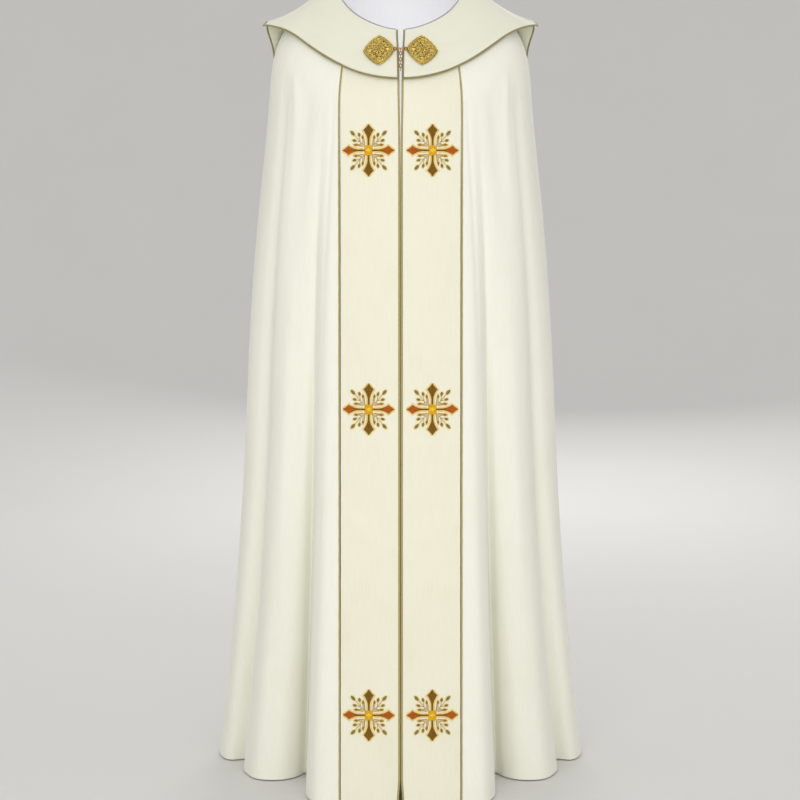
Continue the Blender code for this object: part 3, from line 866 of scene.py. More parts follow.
def shifted_places(places: Array, levels: Array, first: float, last: float) -> Array:
    """Places of a panel's columns, drawn in at its first and last column.

    Args:
        places: the columns' places at every level.
        levels: the rows' levels.
        first: how far the first column moves in, in metres.
        last: how far the last column moves in.

    Returns:
        A place for each row and column.
    """
    ends, step = [], 0.05
    for place, shift in ((places[0], first), (places[-1], -last)):
        ahead = DRAPE.smooth(place + step, levels)
        behind = DRAPE.smooth(place - step, levels)
        width = np.linalg.norm(ahead - behind, axis=-1) / (2 * step)
        ends.append(place + shift / width)
    share = (places - places[0]) / (places[-1] - places[0])
    return ends[0][:, None] + (ends[1] - ends[0])[:, None] * share[None, :]


# Meshes


def new_object(name: str, mesh: Mesh, replaced: Sequence[str] = ()) -> Object:
    """A finished piece at the origin, that rides on the garment's one body.

    Args:
        name: the piece's name.
        mesh: its mesh, already in place.
        replaced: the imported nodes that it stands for.

    Returns:
        The object.
    """
    obj = bpy.data.objects.new(name, mesh)
    bpy.context.scene.collection.objects.link(obj)
    if replaced:
        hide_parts(*replaced)
    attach(obj, BODY)
    mesh.calc_loop_triangles()
    LOG.info("%s: %d triangles", name, len(mesh.loop_triangles))
    return obj


def wall_mesh(name: str, outer: Array, inner: Array, uv: Array, finishes: Sequence[Material]) -> Mesh:
    """A closed wall between two grids of points.

    Args:
        name: the mesh's name.
        outer: the outer points, by row down and column round.
        inner: the inner points, likewise.
        uv: metres across and down the cloth at each point.
        finishes: the outside's material, and the inside's if it differs.

    Returns:
        The mesh.
    """
    rows, columns = outer.shape[:2]
    number = np.arange(rows * columns).reshape(rows, columns)
    top_left, top_right = number[:-1, :-1], number[:-1, 1:]
    low_left, low_right = number[1:, :-1], number[1:, 1:]
    face = np.stack([top_left, low_left, low_right, top_right], -1).reshape(-1, 4)
    back = face[:, ::-1] + rows * columns
    far = number + rows * columns
    rims = [
        np.stack([number[0, :-1], number[0, 1:], far[0, 1:], far[0, :-1]], -1),
        np.stack([number[-1, 1:], number[-1, :-1], far[-1, :-1], far[-1, 1:]], -1),
        np.stack([number[:-1, 0], far[:-1, 0], far[1:, 0], number[1:, 0]], -1),
        np.stack([number[:-1, -1], number[1:, -1], far[1:, -1], far[:-1, -1]], -1),
    ]
    faces = np.concatenate([face, back, *rims])
    mesh = bpy.data.meshes.new(name)
    points = np.concatenate([outer.reshape(-1, 3), inner.reshape(-1, 3)])
    mesh.from_pydata(points.tolist(), [], faces.tolist())
    corners = np.concatenate([uv.reshape(-1, 2)] * 2)[faces.reshape(-1)]
    layer = mesh.uv_layers.new(name="cloth")
    layer.data.foreach_set("uv", corners.astype(np.float32).reshape(-1))
    for finish in finishes:
        mesh.materials.append(finish)
    inside = np.zeros(len(faces), np.int32)
    inside[len(face) : 2 * len(face)] = len(finishes) - 1
    mesh.polygons.foreach_set("material_index", inside)
    mesh.shade_smooth()
    mesh.set_sharp_from_angle(angle=SHARP_ANGLE)
    mesh.update()
    return mesh


def cloth_uv(points: Array) -> Array:
    """Metres across and down the cloth at each point of a grid, from its middle column.

    Args:
        points: the grid's points, by row down and column round.

    Returns:
        Metres across and down at each point.
    """
    across = np.linalg.norm(np.diff(points, axis=1), axis=-1)
    across = np.concatenate([np.zeros((len(points), 1)), np.cumsum(across, axis=1)], axis=1)
    across -= across[:, across.shape[1] // 2][:, None]
    down = np.linalg.norm(np.diff(points, axis=0), axis=-1)
    down = np.concatenate([np.zeros((1, points.shape[1])), np.cumsum(down, axis=0)], axis=0)
    return np.stack([across, down], -1)


def cloth_wall(
    name: str, points: Array, normals: Array, thickness: float, finishes: Sequence[Material]
) -> Mesh:
    """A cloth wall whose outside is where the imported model's is.

    Args:
        name: the mesh's name.
        points: the middle surface's points, by row and column.
        normals: its outward normals.
        thickness: the cloth's thickness.
        finishes: the outside's and the inside's materials.

    Returns:
        The mesh.
    """
    outer = points + normals * WALL / 2
    return wall_mesh(name, outer, outer - normals * thickness, cloth_uv(points), finishes)


def surface_area(points: Array) -> float:
    """The area of a grid of points.

    Args:
        points: the points, by row and column.

    Returns:
        The area.
    """
    first = points[1:, 1:] - points[:-1, :-1]
    second = points[1:, :-1] - points[:-1, 1:]
    return float(np.linalg.norm(np.cross(first, second), axis=-1).sum() / 2)


# Geometry nodes


@dataclass
class NodeRig:
    """A Geometry Nodes tree in the making, with named inputs."""

    name: str
    sizes: dict[str, float]
    counts: dict[str, int] = field(default_factory=dict)

    def __post_init__(self) -> None:
        """Makes the tree's sockets and its first node."""
        self.tree = bpy.data.node_groups.new(self.name, "GeometryNodeTree")
        face = self.tree.interface
        face.new_socket(name="Geometry", in_out="INPUT", socket_type="NodeSocketGeometry")
        face.new_socket(name="Geometry", in_out="OUTPUT", socket_type="NodeSocketGeometry")
        for names, kind in ((self.sizes, "NodeSocketFloat"), (self.counts, "NodeSocketInt")):
            for name, value in names.items():
                face.new_socket(name=name, in_out="INPUT", socket_type=kind).default_value = value
        face.new_socket(name="Finish", in_out="INPUT", socket_type="NodeSocketMaterial")
        self.given = add_node(self.tree, "NodeGroupInput").outputs

    def node(self, kind: str, inputs: Inputs | None = None, **settings: object) -> Node:
        """Adds a node to the tree."""
        return add_node(self.tree, kind, inputs, **settings)

    def tube(self, curve: NodeSocket, radius: object, sides: object) -> NodeSocket:
        """Adds a round tube along a curve and gives its mesh.

        Args:
            curve: the curve's socket.
            radius: its radius.
            sides: how many sides it has.

        Returns:
            The mesh's socket.
        """
        ring = self.node("GeometryNodeCurvePrimitiveCircle", {"Resolution": sides, "Radius": radius})
        inputs: Inputs = {"Curve": curve, "Profile Curve": ring.outputs[0], "Fill Caps": True}
        return self.node("GeometryNodeCurveToMesh", inputs).outputs[0]

    def end(self, mesh: NodeSocket) -> NodeTree:
        """Ends the tree in smooth shading, real instances and the finish.

        Args:
            mesh: the finished mesh's socket.

        Returns:
            The tree.
        """
        real = self.node("GeometryNodeRealizeInstances", {0: mesh}).outputs[0]
        smooth = self.node("GeometryNodeSetShadeSmooth", {"Geometry": real}).outputs[0]
        done = self.node("GeometryNodeSetMaterial", {"Geometry": smooth, "Material": self.given["Finish"]})
        self.node("NodeGroupOutput", {0: done.outputs[0]})
        return self.tree


def twisted_cord_tree(plies: int) -> NodeTree:
    """Plies laid round a filler along each line of the input.

    Args:
        plies: how many strands are twisted together.

    Returns:
        The tree. Lay is the length of a full turn.
    """
    sizes = {"Lay": 0.012, "Ply radius": 0.0009, "Ply offset": 0.0016, "Filler radius": 0.002}
    rig = NodeRig("twisted_cord", sizes, {"Turn steps": 8, "Sides": 5, "Filler sides": 8})
    given = rig.given
    line = rig.node("GeometryNodeMeshToCurve", {"Mesh": given["Geometry"]}).outputs[0]
    step = rig.node("ShaderNodeMath", {0: given["Lay"], 1: given["Turn steps"]}, operation="DIVIDE")
    inputs: Inputs = {"Curve": line, "Length": step.outputs[0]}
    fine = rig.node("GeometryNodeResampleCurve", inputs, mode="LENGTH").outputs[0]
    length = rig.node("GeometryNodeSplineParameter").outputs["Length"]
    turns = rig.node("ShaderNodeMath", {0: length, 1: given["Lay"]}, operation="DIVIDE").outputs[0]
    normal = rig.node("GeometryNodeInputNormal").outputs["Normal"]
    tangent = rig.node("GeometryNodeInputTangent").outputs[0]
    side = rig.node("ShaderNodeVectorMath", {0: tangent, 1: normal}, operation="CROSS_PRODUCT").outputs[0]
    joined = rig.node("GeometryNodeJoinGeometry")
    for ply in range(plies):
        inputs = {0: turns, 1: math.tau, 2: math.tau * ply / plies}
        angle = rig.node("ShaderNodeMath", inputs, operation="MULTIPLY_ADD").outputs[0]
        offsets = []
        for operation, direction in (("COSINE", normal), ("SINE", side)):
            wave = rig.node("ShaderNodeMath", {0: angle}, operation=operation).outputs[0]
            inputs = {0: wave, 1: given["Ply offset"]}
            reach = rig.node("ShaderNodeMath", inputs, operation="MULTIPLY").outputs[0]
            offset = rig.node("ShaderNodeVectorMath", {0: direction, "Scale": reach}, operation="SCALE")
            offsets.append(offset.outputs[0])
        offset = rig.node("ShaderNodeVectorMath", {0: offsets[0], 1: offsets[1]}, operation="ADD").outputs[0]
        strand = rig.node("GeometryNodeSetPosition", {"Geometry": fine, "Offset": offset}).outputs[0]
        tube = rig.tube(strand, given["Ply radius"], given["Sides"])
        rig.tree.links.new(tube, joined.inputs[0])
    rig.tree.links.new(rig.tube(line, given["Filler radius"], given["Filler sides"]), joined.inputs[0])
    return rig.end(joined.outputs[0])


def thread_tree() -> NodeTree:
    """A round thread or wire along each line of the input.

    Returns:
        The tree.
    """
    rig = NodeRig("thread", {"Radius": 0.0004}, {"Sides": 4})
    line = rig.node("GeometryNodeMeshToCurve", {"Mesh": rig.given["Geometry"]}).outputs[0]
    return rig.end(rig.tube(line, rig.given["Radius"], rig.given["Sides"]))


def bead_tree() -> NodeTree:
    """Beads, evenly spaced along each line of the input.

    Returns:
        The tree.
    """
    rig = NodeRig("beads", {"Radius": 0.0008, "Spacing": 0.002}, {"Roundness": 2})
    given = rig.given
    line = rig.node("GeometryNodeMeshToCurve", {"Mesh": given["Geometry"]}).outputs[0]
    inputs: Inputs = {"Curve": line, "Length": given["Spacing"]}
    spaced = rig.node("GeometryNodeResampleCurve", inputs, mode="LENGTH").outputs[0]
    inputs = {"Radius": given["Radius"], "Subdivisions": given["Roundness"]}
    bead = rig.node("GeometryNodeMeshIcoSphere", inputs)
    placed = rig.node("GeometryNodeInstanceOnPoints", {"Points": spaced, "Instance": bead.outputs[0]})
    return rig.end(placed.outputs[0])


@dataclass(frozen=True)
class Line:
    """A line of points, closed or open."""

    points: Array
    closed: bool = False


def grow(lines: Sequence[Line], tree: NodeTree, finish: Material, **sizes: float) -> Mesh:
    """Runs a node tree on some lines and gives the plain mesh that it makes.

    Args:
        lines: the lines that the tree follows.
        tree: the tree.
        finish: the material that it sets.
        sizes: values for the tree's inputs, with _ for a space in their names.

    Returns:
        The mesh.
    """
    points, edges, start = [], [], 0
    for line in lines:
        count = len(line.points)
        points.append(line.points)
        ends = np.arange(start, start + count)
        edges.append(np.stack([ends[:-1], ends[1:]], -1))
        if line.closed:
            edges.append(np.array([[ends[-1], ends[0]]]))
        start += count
    source = bpy.data.meshes.new("lines")
    source.from_pydata(np.concatenate(points).tolist(), np.concatenate(edges).tolist(), [])
    holder = bpy.data.objects.new("lines", source)
    bpy.context.scene.collection.objects.link(holder)
    modifier = holder.modifiers.new("grow", "NODES")
    modifier.node_group = tree
    values: dict[str, object] = {name.replace("_", " "): value for name, value in sizes.items()}
    values["Finish"] = finish
    for item in tree.interface.items_tree:
        if item.in_out == "INPUT" and item.name in values:
            modifier[item.identifier] = values.pop(item.name)
    if values:
        raise ValueError(f"{tree.name} has no input named {sorted(values)}")
    holder.update_tag()
    graph = bpy.context.evaluated_depsgraph_get()
    made = bpy.data.meshes.new_from_object(holder.evaluated_get(graph))
    bpy.data.objects.remove(holder, do_unlink=True)
    bpy.data.meshes.remove(source)
    return made


def joined_mesh(name: str, meshes: Sequence[Mesh]) -> Mesh:
    """Several meshes as one, with their materials.

    Args:
        name: the new mesh's name.
        meshes: the meshes, which are used up.

    Returns:
        The mesh.
    """
    objects = []
    for mesh in meshes:
        obj = bpy.data.objects.new(name, mesh)
        bpy.context.scene.collection.objects.link(obj)
        objects.append(obj)
    with bpy.context.temp_override(active_object=objects[0], selected_editable_objects=objects):
        bpy.ops.object.join()
    mesh = objects[0].data
    bpy.data.objects.remove(objects[0], do_unlink=True)
    mesh.name = name
    return mesh


@dataclass(frozen=True)
class Trees:
    """The node trees that the pieces share."""

    cord: NodeTree
    thread: NodeTree
    beads: NodeTree


# The pieces


@dataclass(frozen=True)
class Cut:
    """A panel's flat cut: its greatest width and length, and its area."""

    width: float
    length: float
    area: float


@dataclass
class Body:
    """The back, the two sides and the two front bands."""

    satin: Material
    band_satin: Material
    lining: Material
    cap_rows: int = 34
    fall_rows: int = 110
    fold_columns: int = 8
    band_columns: int = 36
    back_cut: Cut = Cut(1.48, 1.55, 1.32)
    side_cut: Cut = Cut(0.61, 1.55, 0.53)
    band_cut: Cut = Cut(0.112, 1.456, 0.147)

    def panel(self, name: str, first: int, last: int, shifts: tuple[float, float], cut: Cut) -> None:
        """Makes one panel between two folds, drawn in from its seams.

        Args:
            name: its name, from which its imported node's is made.
            first: its first fold.
            last: its last fold.
            shifts: how far it is drawn in from each.
            cut: its flat cut.
        """
        levels = body_levels(self.cap_rows, self.fall_rows)
        places = np.linspace(first, last, (last - first) * self.fold_columns + 1)
        grid = shifted_places(places, levels, *shifts)
        points, normals = DRAPE.creased(grid, levels[:, None])
        mesh = cloth_wall(name, points, normals, CLOTH_THICKNESS, (self.satin, self.lining))
        self.finish(new_object(name, mesh, (name.replace("cloth", "panel"),)), points, cut)

    def band(self, name: str, node: str, left: bool) -> None:
        """Makes one front band between the opening and its seam.

        Args:
            name: its name.
            node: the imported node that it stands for.
            left: whether it is the left-hand one.
        """
        levels = body_levels(self.cap_rows, self.fall_rows)
        height = DRAPE.smooth(0.0, levels)[:, 2]
        beside = PIPING_RADIUS * CORD_FILLER + EDGE_GAP
        start = DRAPE.place_at_half_width(levels, OPENING.half_width(height) + beside)
        seam = shifted_places(np.array([0.0, float(BAND_SEAM)]), levels, 0.0, beside)[:, 1]
        share = np.linspace(0.0, 1.0, self.band_columns + 1)
        grid = start[:, None] + (seam - start)[:, None] * share
        if left:
            grid = (RING - grid)[:, ::-1]
        points, normals = DRAPE.creased(grid, levels[:, None])
        mesh = cloth_wall(name, points, normals, CLOTH_THICKNESS, (self.band_satin, self.lining))
        self.finish(new_object(name, mesh, (node,)), points, self.band_cut)

    def finish(self, piece: Object, points: Array, cut: Cut) -> None:
        """Logs a panel's built area beside the area of the sheet that it was cut to.

        Args:
            piece: the panel.
            points: its middle surface.
            cut: its flat cut.
        """
        LOG.info("%s: built area %.3f m2, cut area %.3f m2", piece.name, surface_area(points), cut.area)

    def build(self) -> None:
        """Makes all five."""
        seam, cord = SEAM_GAP / 2, PIPING_RADIUS * CORD_FILLER + EDGE_GAP
        far_side, far_band = RING - SIDE_SEAM, RING - BAND_SEAM
        self.panel("side_cloth_right", BAND_SEAM, SIDE_SEAM, (cord, seam), self.side_cut)
        self.panel("back_cloth", SIDE_SEAM, far_side, (seam, seam), self.back_cut)
        self.panel("side_cloth_left", far_side, far_band, (seam, cord), self.side_cut)
        self.band("band_cloth_right", "orphrey_right", False)
        self.band("band_cloth_left", "orphrey_left", True)


@dataclass(frozen=True)
class Sag:
    """A soft dip in the collar, or a rise where its depth is below 0.

    The bearing and its width are in degrees round the neck, the share runs
    from the neckline to the lower edge, and the depth is a share of the
    collar's own sag depth.
    """

    bearing: float
    share: float
    width: float
    depth: float


SAGS = (
    Sag(62.0, 0.52, 15.0, 1.3),
    Sag(298.0, 0.50, 16.0, 1.4),
    Sag(118.0, 0.45, 14.0, -1.0),
    Sag(245.0, 0.50, 15.0, -1.1),
)


@dataclass
class Collar:
    """The wide collar, split in front, that hangs as a round hood behind."""

    satin: Material
    underside: Material
    front_height: float = -0.183
    tip_height: float = -0.067
    tip_half_width: float = 0.2205
    side_height: float = -0.061
    edge_power: float = 2.1
    hood_height: float = -0.400
    lift: float = 0.0064
    lift_run: float = 0.024
    tip_reach: float = 0.0380
    reach_power: float = 5.0
    front_spread: float = 20.0
    back_spread: float = 6.5
    rows: int = 40
    band_columns: int = 24
    round_columns: int = 96
    cut: Cut = Cut(0.64, 0.66, 0.265)
    sag_depth: float = 0.0012
    sag_reach: float = 0.16
    wave_depth: float = 0.0007
    waves: float = 9.0
    wave_start: float = 0.45
    wave_run: float = 0.5
    wave_front: float = 12.0
    wave_wander: float = 1.1
    wander_pace: float = 2.3
    rows_of_points: Array = field(default_factory=lambda: np.zeros((0, 0, 3)))

    def edge_height(self, bearing: Array, half_width: Array) -> Array:
        """The height of the lower edge: high at the shoulders, low behind.

        Args:
            bearing: bearings round the neck.
            half_width: distances from the centre line.

        Returns:
            The heights.
        """
        share = (half_width / self.tip_half_width) ** self.edge_power
        front = between(self.front_height, self.tip_height, share)
        behind = between(self.hood_height, self.side_height, 1 - np.abs(np.cos(np.radians(bearing))))
        return np.where((bearing <= 90.0) | (bearing >= 270.0), front, behind)

    def bearing_at(self, place: Array) -> Array:
        """The bearing of a place, past 180 degrees on the left-hand side.

        Args:
            place: places.

        Returns:
            Their bearings in degrees.
        """
        bearings = [fold.bearing for fold in FOLDS]
        ring = [*bearings, *(360.0 - bearing for bearing in bearings[-2::-1])]
        return np.interp(place, np.arange(RING + 1), ring)

    def edge_level(self, place: Array) -> Array:
        """The level at which the cloth passes under the lower edge.

        Args:
            place: places.

        Returns:
            Their levels.
        """
        bearing = self.bearing_at(place)

        def above(level: Array) -> Array:
            """Whether the cloth at a level is still above the edge."""
            point = DRAPE.smooth(place, level)
            return point[..., 2] > self.edge_height(bearing, np.abs(point[..., 0]))

        return halve(above, np.zeros(place.shape), np.full(place.shape, 2.0))

    def surface(self, place: Array, share: Array, edge_level: Array) -> tuple[Array, Array]:
        """The middle surface: the cloth's own, moved out.

        Args:
            place: places, each on the neckline to the lower edge.
            share: 0 at the neckline and 1 at the lower edge.
            edge_level: the edge's level at each place.

        Returns:
            Points and outward normals.
        """
        level = share * edge_level
        point, normal, _, _ = DRAPE.frame(place, level)
        run = np.linalg.norm(point - DRAPE.smooth(place, 0.0), axis=-1)
        lift = between(WALL + SEAM_GAP, self.lift, smoothstep(run / self.lift_run))
        from_tip = np.abs(180.0 - self.bearing_at(place)) - 90.0
        from_tip = from_tip / np.where(from_tip > 0, self.front_spread, self.back_spread)
        outward = unit(normal * np.array([1.0, 1.0, 0.0]))
        reach = self.tip_reach * share**self.reach_power * np.exp(-from_tip * from_tip)
        return point + normal * lift[..., None] + outward * reach[..., None], normal

    def start_places(self, shares: Array) -> Array:
        """The places at which the collar starts, beside its cord at the opening.

        Args:
            shares: shares of the way down the front edge.

        Returns:
            The places.
        """
        front_level = float(self.edge_level(np.zeros(1))[0])
        levels = shares * front_level
        height = DRAPE.smooth(0.0, levels)[:, 2]
        edge = OPENING.half_width(height) + COLLAR_PIPING_RADIUS + COLLAR_PIPING_GAP
        return DRAPE.place_at_half_width(levels, edge)

    def base_places(self) -> Array:
        """The columns' places before they are drawn in from the opening.

        Returns:
            The places.
        """
        band = np.linspace(0.0, 1.0, self.band_columns, endpoint=False)
        bearings = np.array([fold.bearing for fold in FOLDS])
        around = DRAPE.neck_bearing(bearings)
        wanted = np.linspace(around[BAND_SEAM], 180.0, self.round_columns)
        half = np.concatenate([band, np.interp(wanted, around[1:], np.arange(1, LAST + 1))])
        return np.concatenate([half, RING - half[-2::-1]])

    def ripple(self, place: Array, share: Array) -> Array:
        """Soft unevenness of the collar: a dip over each shoulder and faint waves by the edge.

        Args:
            place: places.
            share: shares of the way from the neckline to the edge.

        Returns:
            Heights over the smooth collar.
        """
        bearing = self.bearing_at(place)
        height = np.zeros(np.broadcast(place, share).shape)
        for sag in SAGS:
            across = ((bearing - sag.bearing) / sag.width) ** 2 + ((share - sag.share) / self.sag_reach) ** 2
            height -= self.sag_depth * sag.depth * np.exp(-across)
        from_front = smoothstep(np.minimum(bearing, 360 - bearing) / self.wave_front)
        near_edge = smoothstep((share - self.wave_start) / self.wave_run)
        wander = self.wave_wander * np.sin(np.radians(bearing * self.wander_pace))
        wave = np.sin(np.radians(bearing * self.waves) + wander)
        return height + self.wave_depth * from_front * near_edge * wave

    def build(self) -> None:
        """Makes the collar."""
        shares = np.linspace(0.0, 1.0, self.rows + 1)
        places = self.base_places()
        starts = self.start_places(shares)[:, None]
        even = (places / RING)[None, :]
        grid = starts + (RING - 2 * starts) * even
        levels = np.stack([self.edge_level(row) for row in grid])
        points, normals = self.surface(grid, shares[:, None] * np.ones(grid.shape), levels)
        self.rows_of_points = points
        points = points + normals * self.ripple(grid, shares[:, None])[..., None]
        mesh = cloth_wall("collar_cloth", points, normals, COLLAR_THICKNESS, (self.satin, self.underside))
        piece = new_object("collar_cloth", mesh, ("cape_collar",))
        LOG.info("collar: built area %.3f m2, cut area %.3f m2", surface_area(points), self.cut.area)


def beside_edge(edge: Array, within: Array, distance: float) -> Array:
    """Points beside a panel's edge, square to it, on the far side of the cloth.

    Args:
        edge: the edge's points.
        within: a point of the cloth for each of them.
        distance: how far off the line lies.

    Returns:
        The line's points.
    """
    arriving = unit(np.diff(edge, axis=0, prepend=edge[:1]))
    leaving = unit(np.diff(edge, axis=0, append=edge[-1:]))
    both = arriving + leaving
    half_turn = np.linalg.norm(both, axis=1, keepdims=True) / 2
    half_turn[0] = half_turn[-1] = 1.0
    along = unit(both)
    away = edge - within
    away = away - along * np.sum(away * along, axis=1, keepdims=True)
    return edge + unit(away) * distance / half_turn


@dataclass
class Piping:
    """The twisted cords in the seams, along the opening and round the collar."""

    trees: Trees
    cord: Material
    collar_cord: Material
    binding: Material
    collar: Collar
    start_distance: float = 0.036
    binding_radius: float = 0.0013
    lay: float = 0.0105
    ply_share: float = 0.40
    twist_share: float = 0.60
    cap_points: int = 40
    fall_points: int = 200

    def levels(self, place: float) -> Array:
        """The levels of a cord's points, from where it shows below the neckline."""
        start = DRAPE.level_down(place, self.start_distance)
        cap = np.linspace(start, 1.0, self.cap_points, endpoint=False)
        return np.concatenate([cap, np.linspace(1.0, 2.0, self.fall_points)])

    def twisted(self, name: str, points: Array, radius: float, replaced: str) -> None:
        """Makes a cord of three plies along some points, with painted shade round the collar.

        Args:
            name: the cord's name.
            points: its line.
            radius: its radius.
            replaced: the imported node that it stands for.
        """
        sizes = {
            "Ply_radius": radius * self.ply_share,
            "Ply_offset": radius * self.twist_share,
            "Filler_radius": radius * CORD_FILLER,
            "Lay": self.lay * radius / PIPING_RADIUS,
        }
        # The collar's cord takes the finish that is painted darker, as painted shade
        finish = self.collar_cord if replaced == "collar_piping" else self.cord
        mesh = grow([Line(points)], self.trees.cord, finish, **sizes)
        new_object(name, mesh, (replaced,))

    def seam_path(self, left: bool) -> Array:
        """The line of the cord in the left-hand or the right-hand band's outer seam."""
        place = RING - BAND_SEAM if left else BAND_SEAM
        return DRAPE.creased(place, self.levels(BAND_SEAM))[0]

    def opening_path(self, left: bool) -> Array:
        """The line of the cord along the opening.

        Args:
            left: whether it is the left-hand cord.

        Returns:
            The line's points.
        """
        levels = self.levels(0.0)
        height = DRAPE.smooth(0.0, levels)[:, 2]
        place = DRAPE.place_at_half_width(levels, OPENING.half_width(height))
        return DRAPE.creased(RING - place if left else place, levels)[0]

    def collar_path(self) -> Array:
        """Down one edge of the opening, round the lower edge and up the other.

        Returns:
            The line's points.
        """
        points = self.collar.rows_of_points
        reach = COLLAR_PIPING_RADIUS + COLLAR_PIPING_GAP
        right = beside_edge(points[:, 0], points[:, 1], reach)
        left = beside_edge(points[:, -1], points[:, -2], reach)
        below = beside_edge(points[-1], points[-2], reach)
        right[-1] += below[0] - points[-1, 0]
        left[-1] += below[-1] - points[-1, -1]
        return np.concatenate([right, below[1:-1], left[::-1]])

    def binding_path(self) -> Array:
        """Along the neckline, on the edges of the body and the collar.

        Returns:
            The line's points.
        """
        places = self.collar.base_places()
        start = float(self.collar.start_places(np.zeros(1))[0])
        places = start + (RING - 2 * start) * places / RING
        point, normal, _, down = DRAPE.frame(places, 0.0)
        edge = point + normal * (WALL + SEAM_GAP) / 2
        return beside_edge(edge, edge + down, self.binding_radius + 2 * SEAM_GAP)

    def build(self) -> None:
        """Makes all the cords and the neck's binding."""
        for side, left in (("right", False), ("left", True)):
            for name, node, path in (
                ("band_cord", "band_piping", self.seam_path(left)),
                ("opening_cord", "front_piping", self.opening_path(left)),
            ):
                self.twisted(f"{name}_{side}", path, PIPING_RADIUS, f"{node}_{side}")
        self.twisted("collar_cord", self.collar_path(), COLLAR_PIPING_RADIUS, "collar_piping")
        line, radius = Line(self.binding_path()), self.binding_radius
        # The binding's grey finish is painted shade
        mesh = grow([line], self.trees.thread, self.binding, Radius=radius, Sides=10)
        new_object("neck_edging", mesh, ("neck_binding",))


@dataclass
class Lining:
    """The white lining inside the neck, shoulders and back."""

    cloth: Material
    from_place: int = 10
    start_level: float = 0.0086
    rows: int = 40
    fold_columns: int = 6
    cut: Cut = Cut(0.91, 0.30, 0.226)

    def build(self) -> None:
        """Makes the lining, close inside the body's cloth."""
        offset = -(WALL / 2 + SEAM_GAP + LINING_WALL / 2)
        first, last = self.from_place, RING - self.from_place
        places = np.linspace(first, last, (last - first) * self.fold_columns + 1)
        levels = np.linspace(self.start_level, 1.0, self.rows + 1)
        point, normal = DRAPE.creased(places[None, :], levels[:, None])
        middle = point + normal * offset
        outer = middle + normal * LINING_WALL / 2
        inner = middle - normal * LINING_WALL / 2
        mesh = wall_mesh("lining_cloth", outer, inner, cloth_uv(middle), (self.cloth,))
        piece = new_object("lining_cloth", mesh, ("lining_yoke",))
        LOG.info("lining: built area %.3f m2, cut area %.3f m2", surface_area(middle), self.cut.area)


# The clasp


@dataclass(frozen=True)
class Scroll:
    """A scroll of the filigree: where it lies beside a corner's line, and how it turns.

    The angles are in radians and the size is a share of the plate's outline.
    """

    angle: float
    size: float
    radius: float
    turn: float
    turns: float = 1.35


SCROLLS = (
    Scroll(0.22, 0.67, 0.0031, 0.6),
    Scroll(0.50, 0.61, 0.0027, 2.2),
    Scroll(0.72, 0.66, 0.0029, 3.9),
)
# Each granule's angle beside a corner's line and its share of the outline
GRANULES = ((0.0, 0.73), (0.36, 0.74), (-0.36, 0.74), (0.62, 0.54), (-0.62, 0.54), (0.0, 0.52))


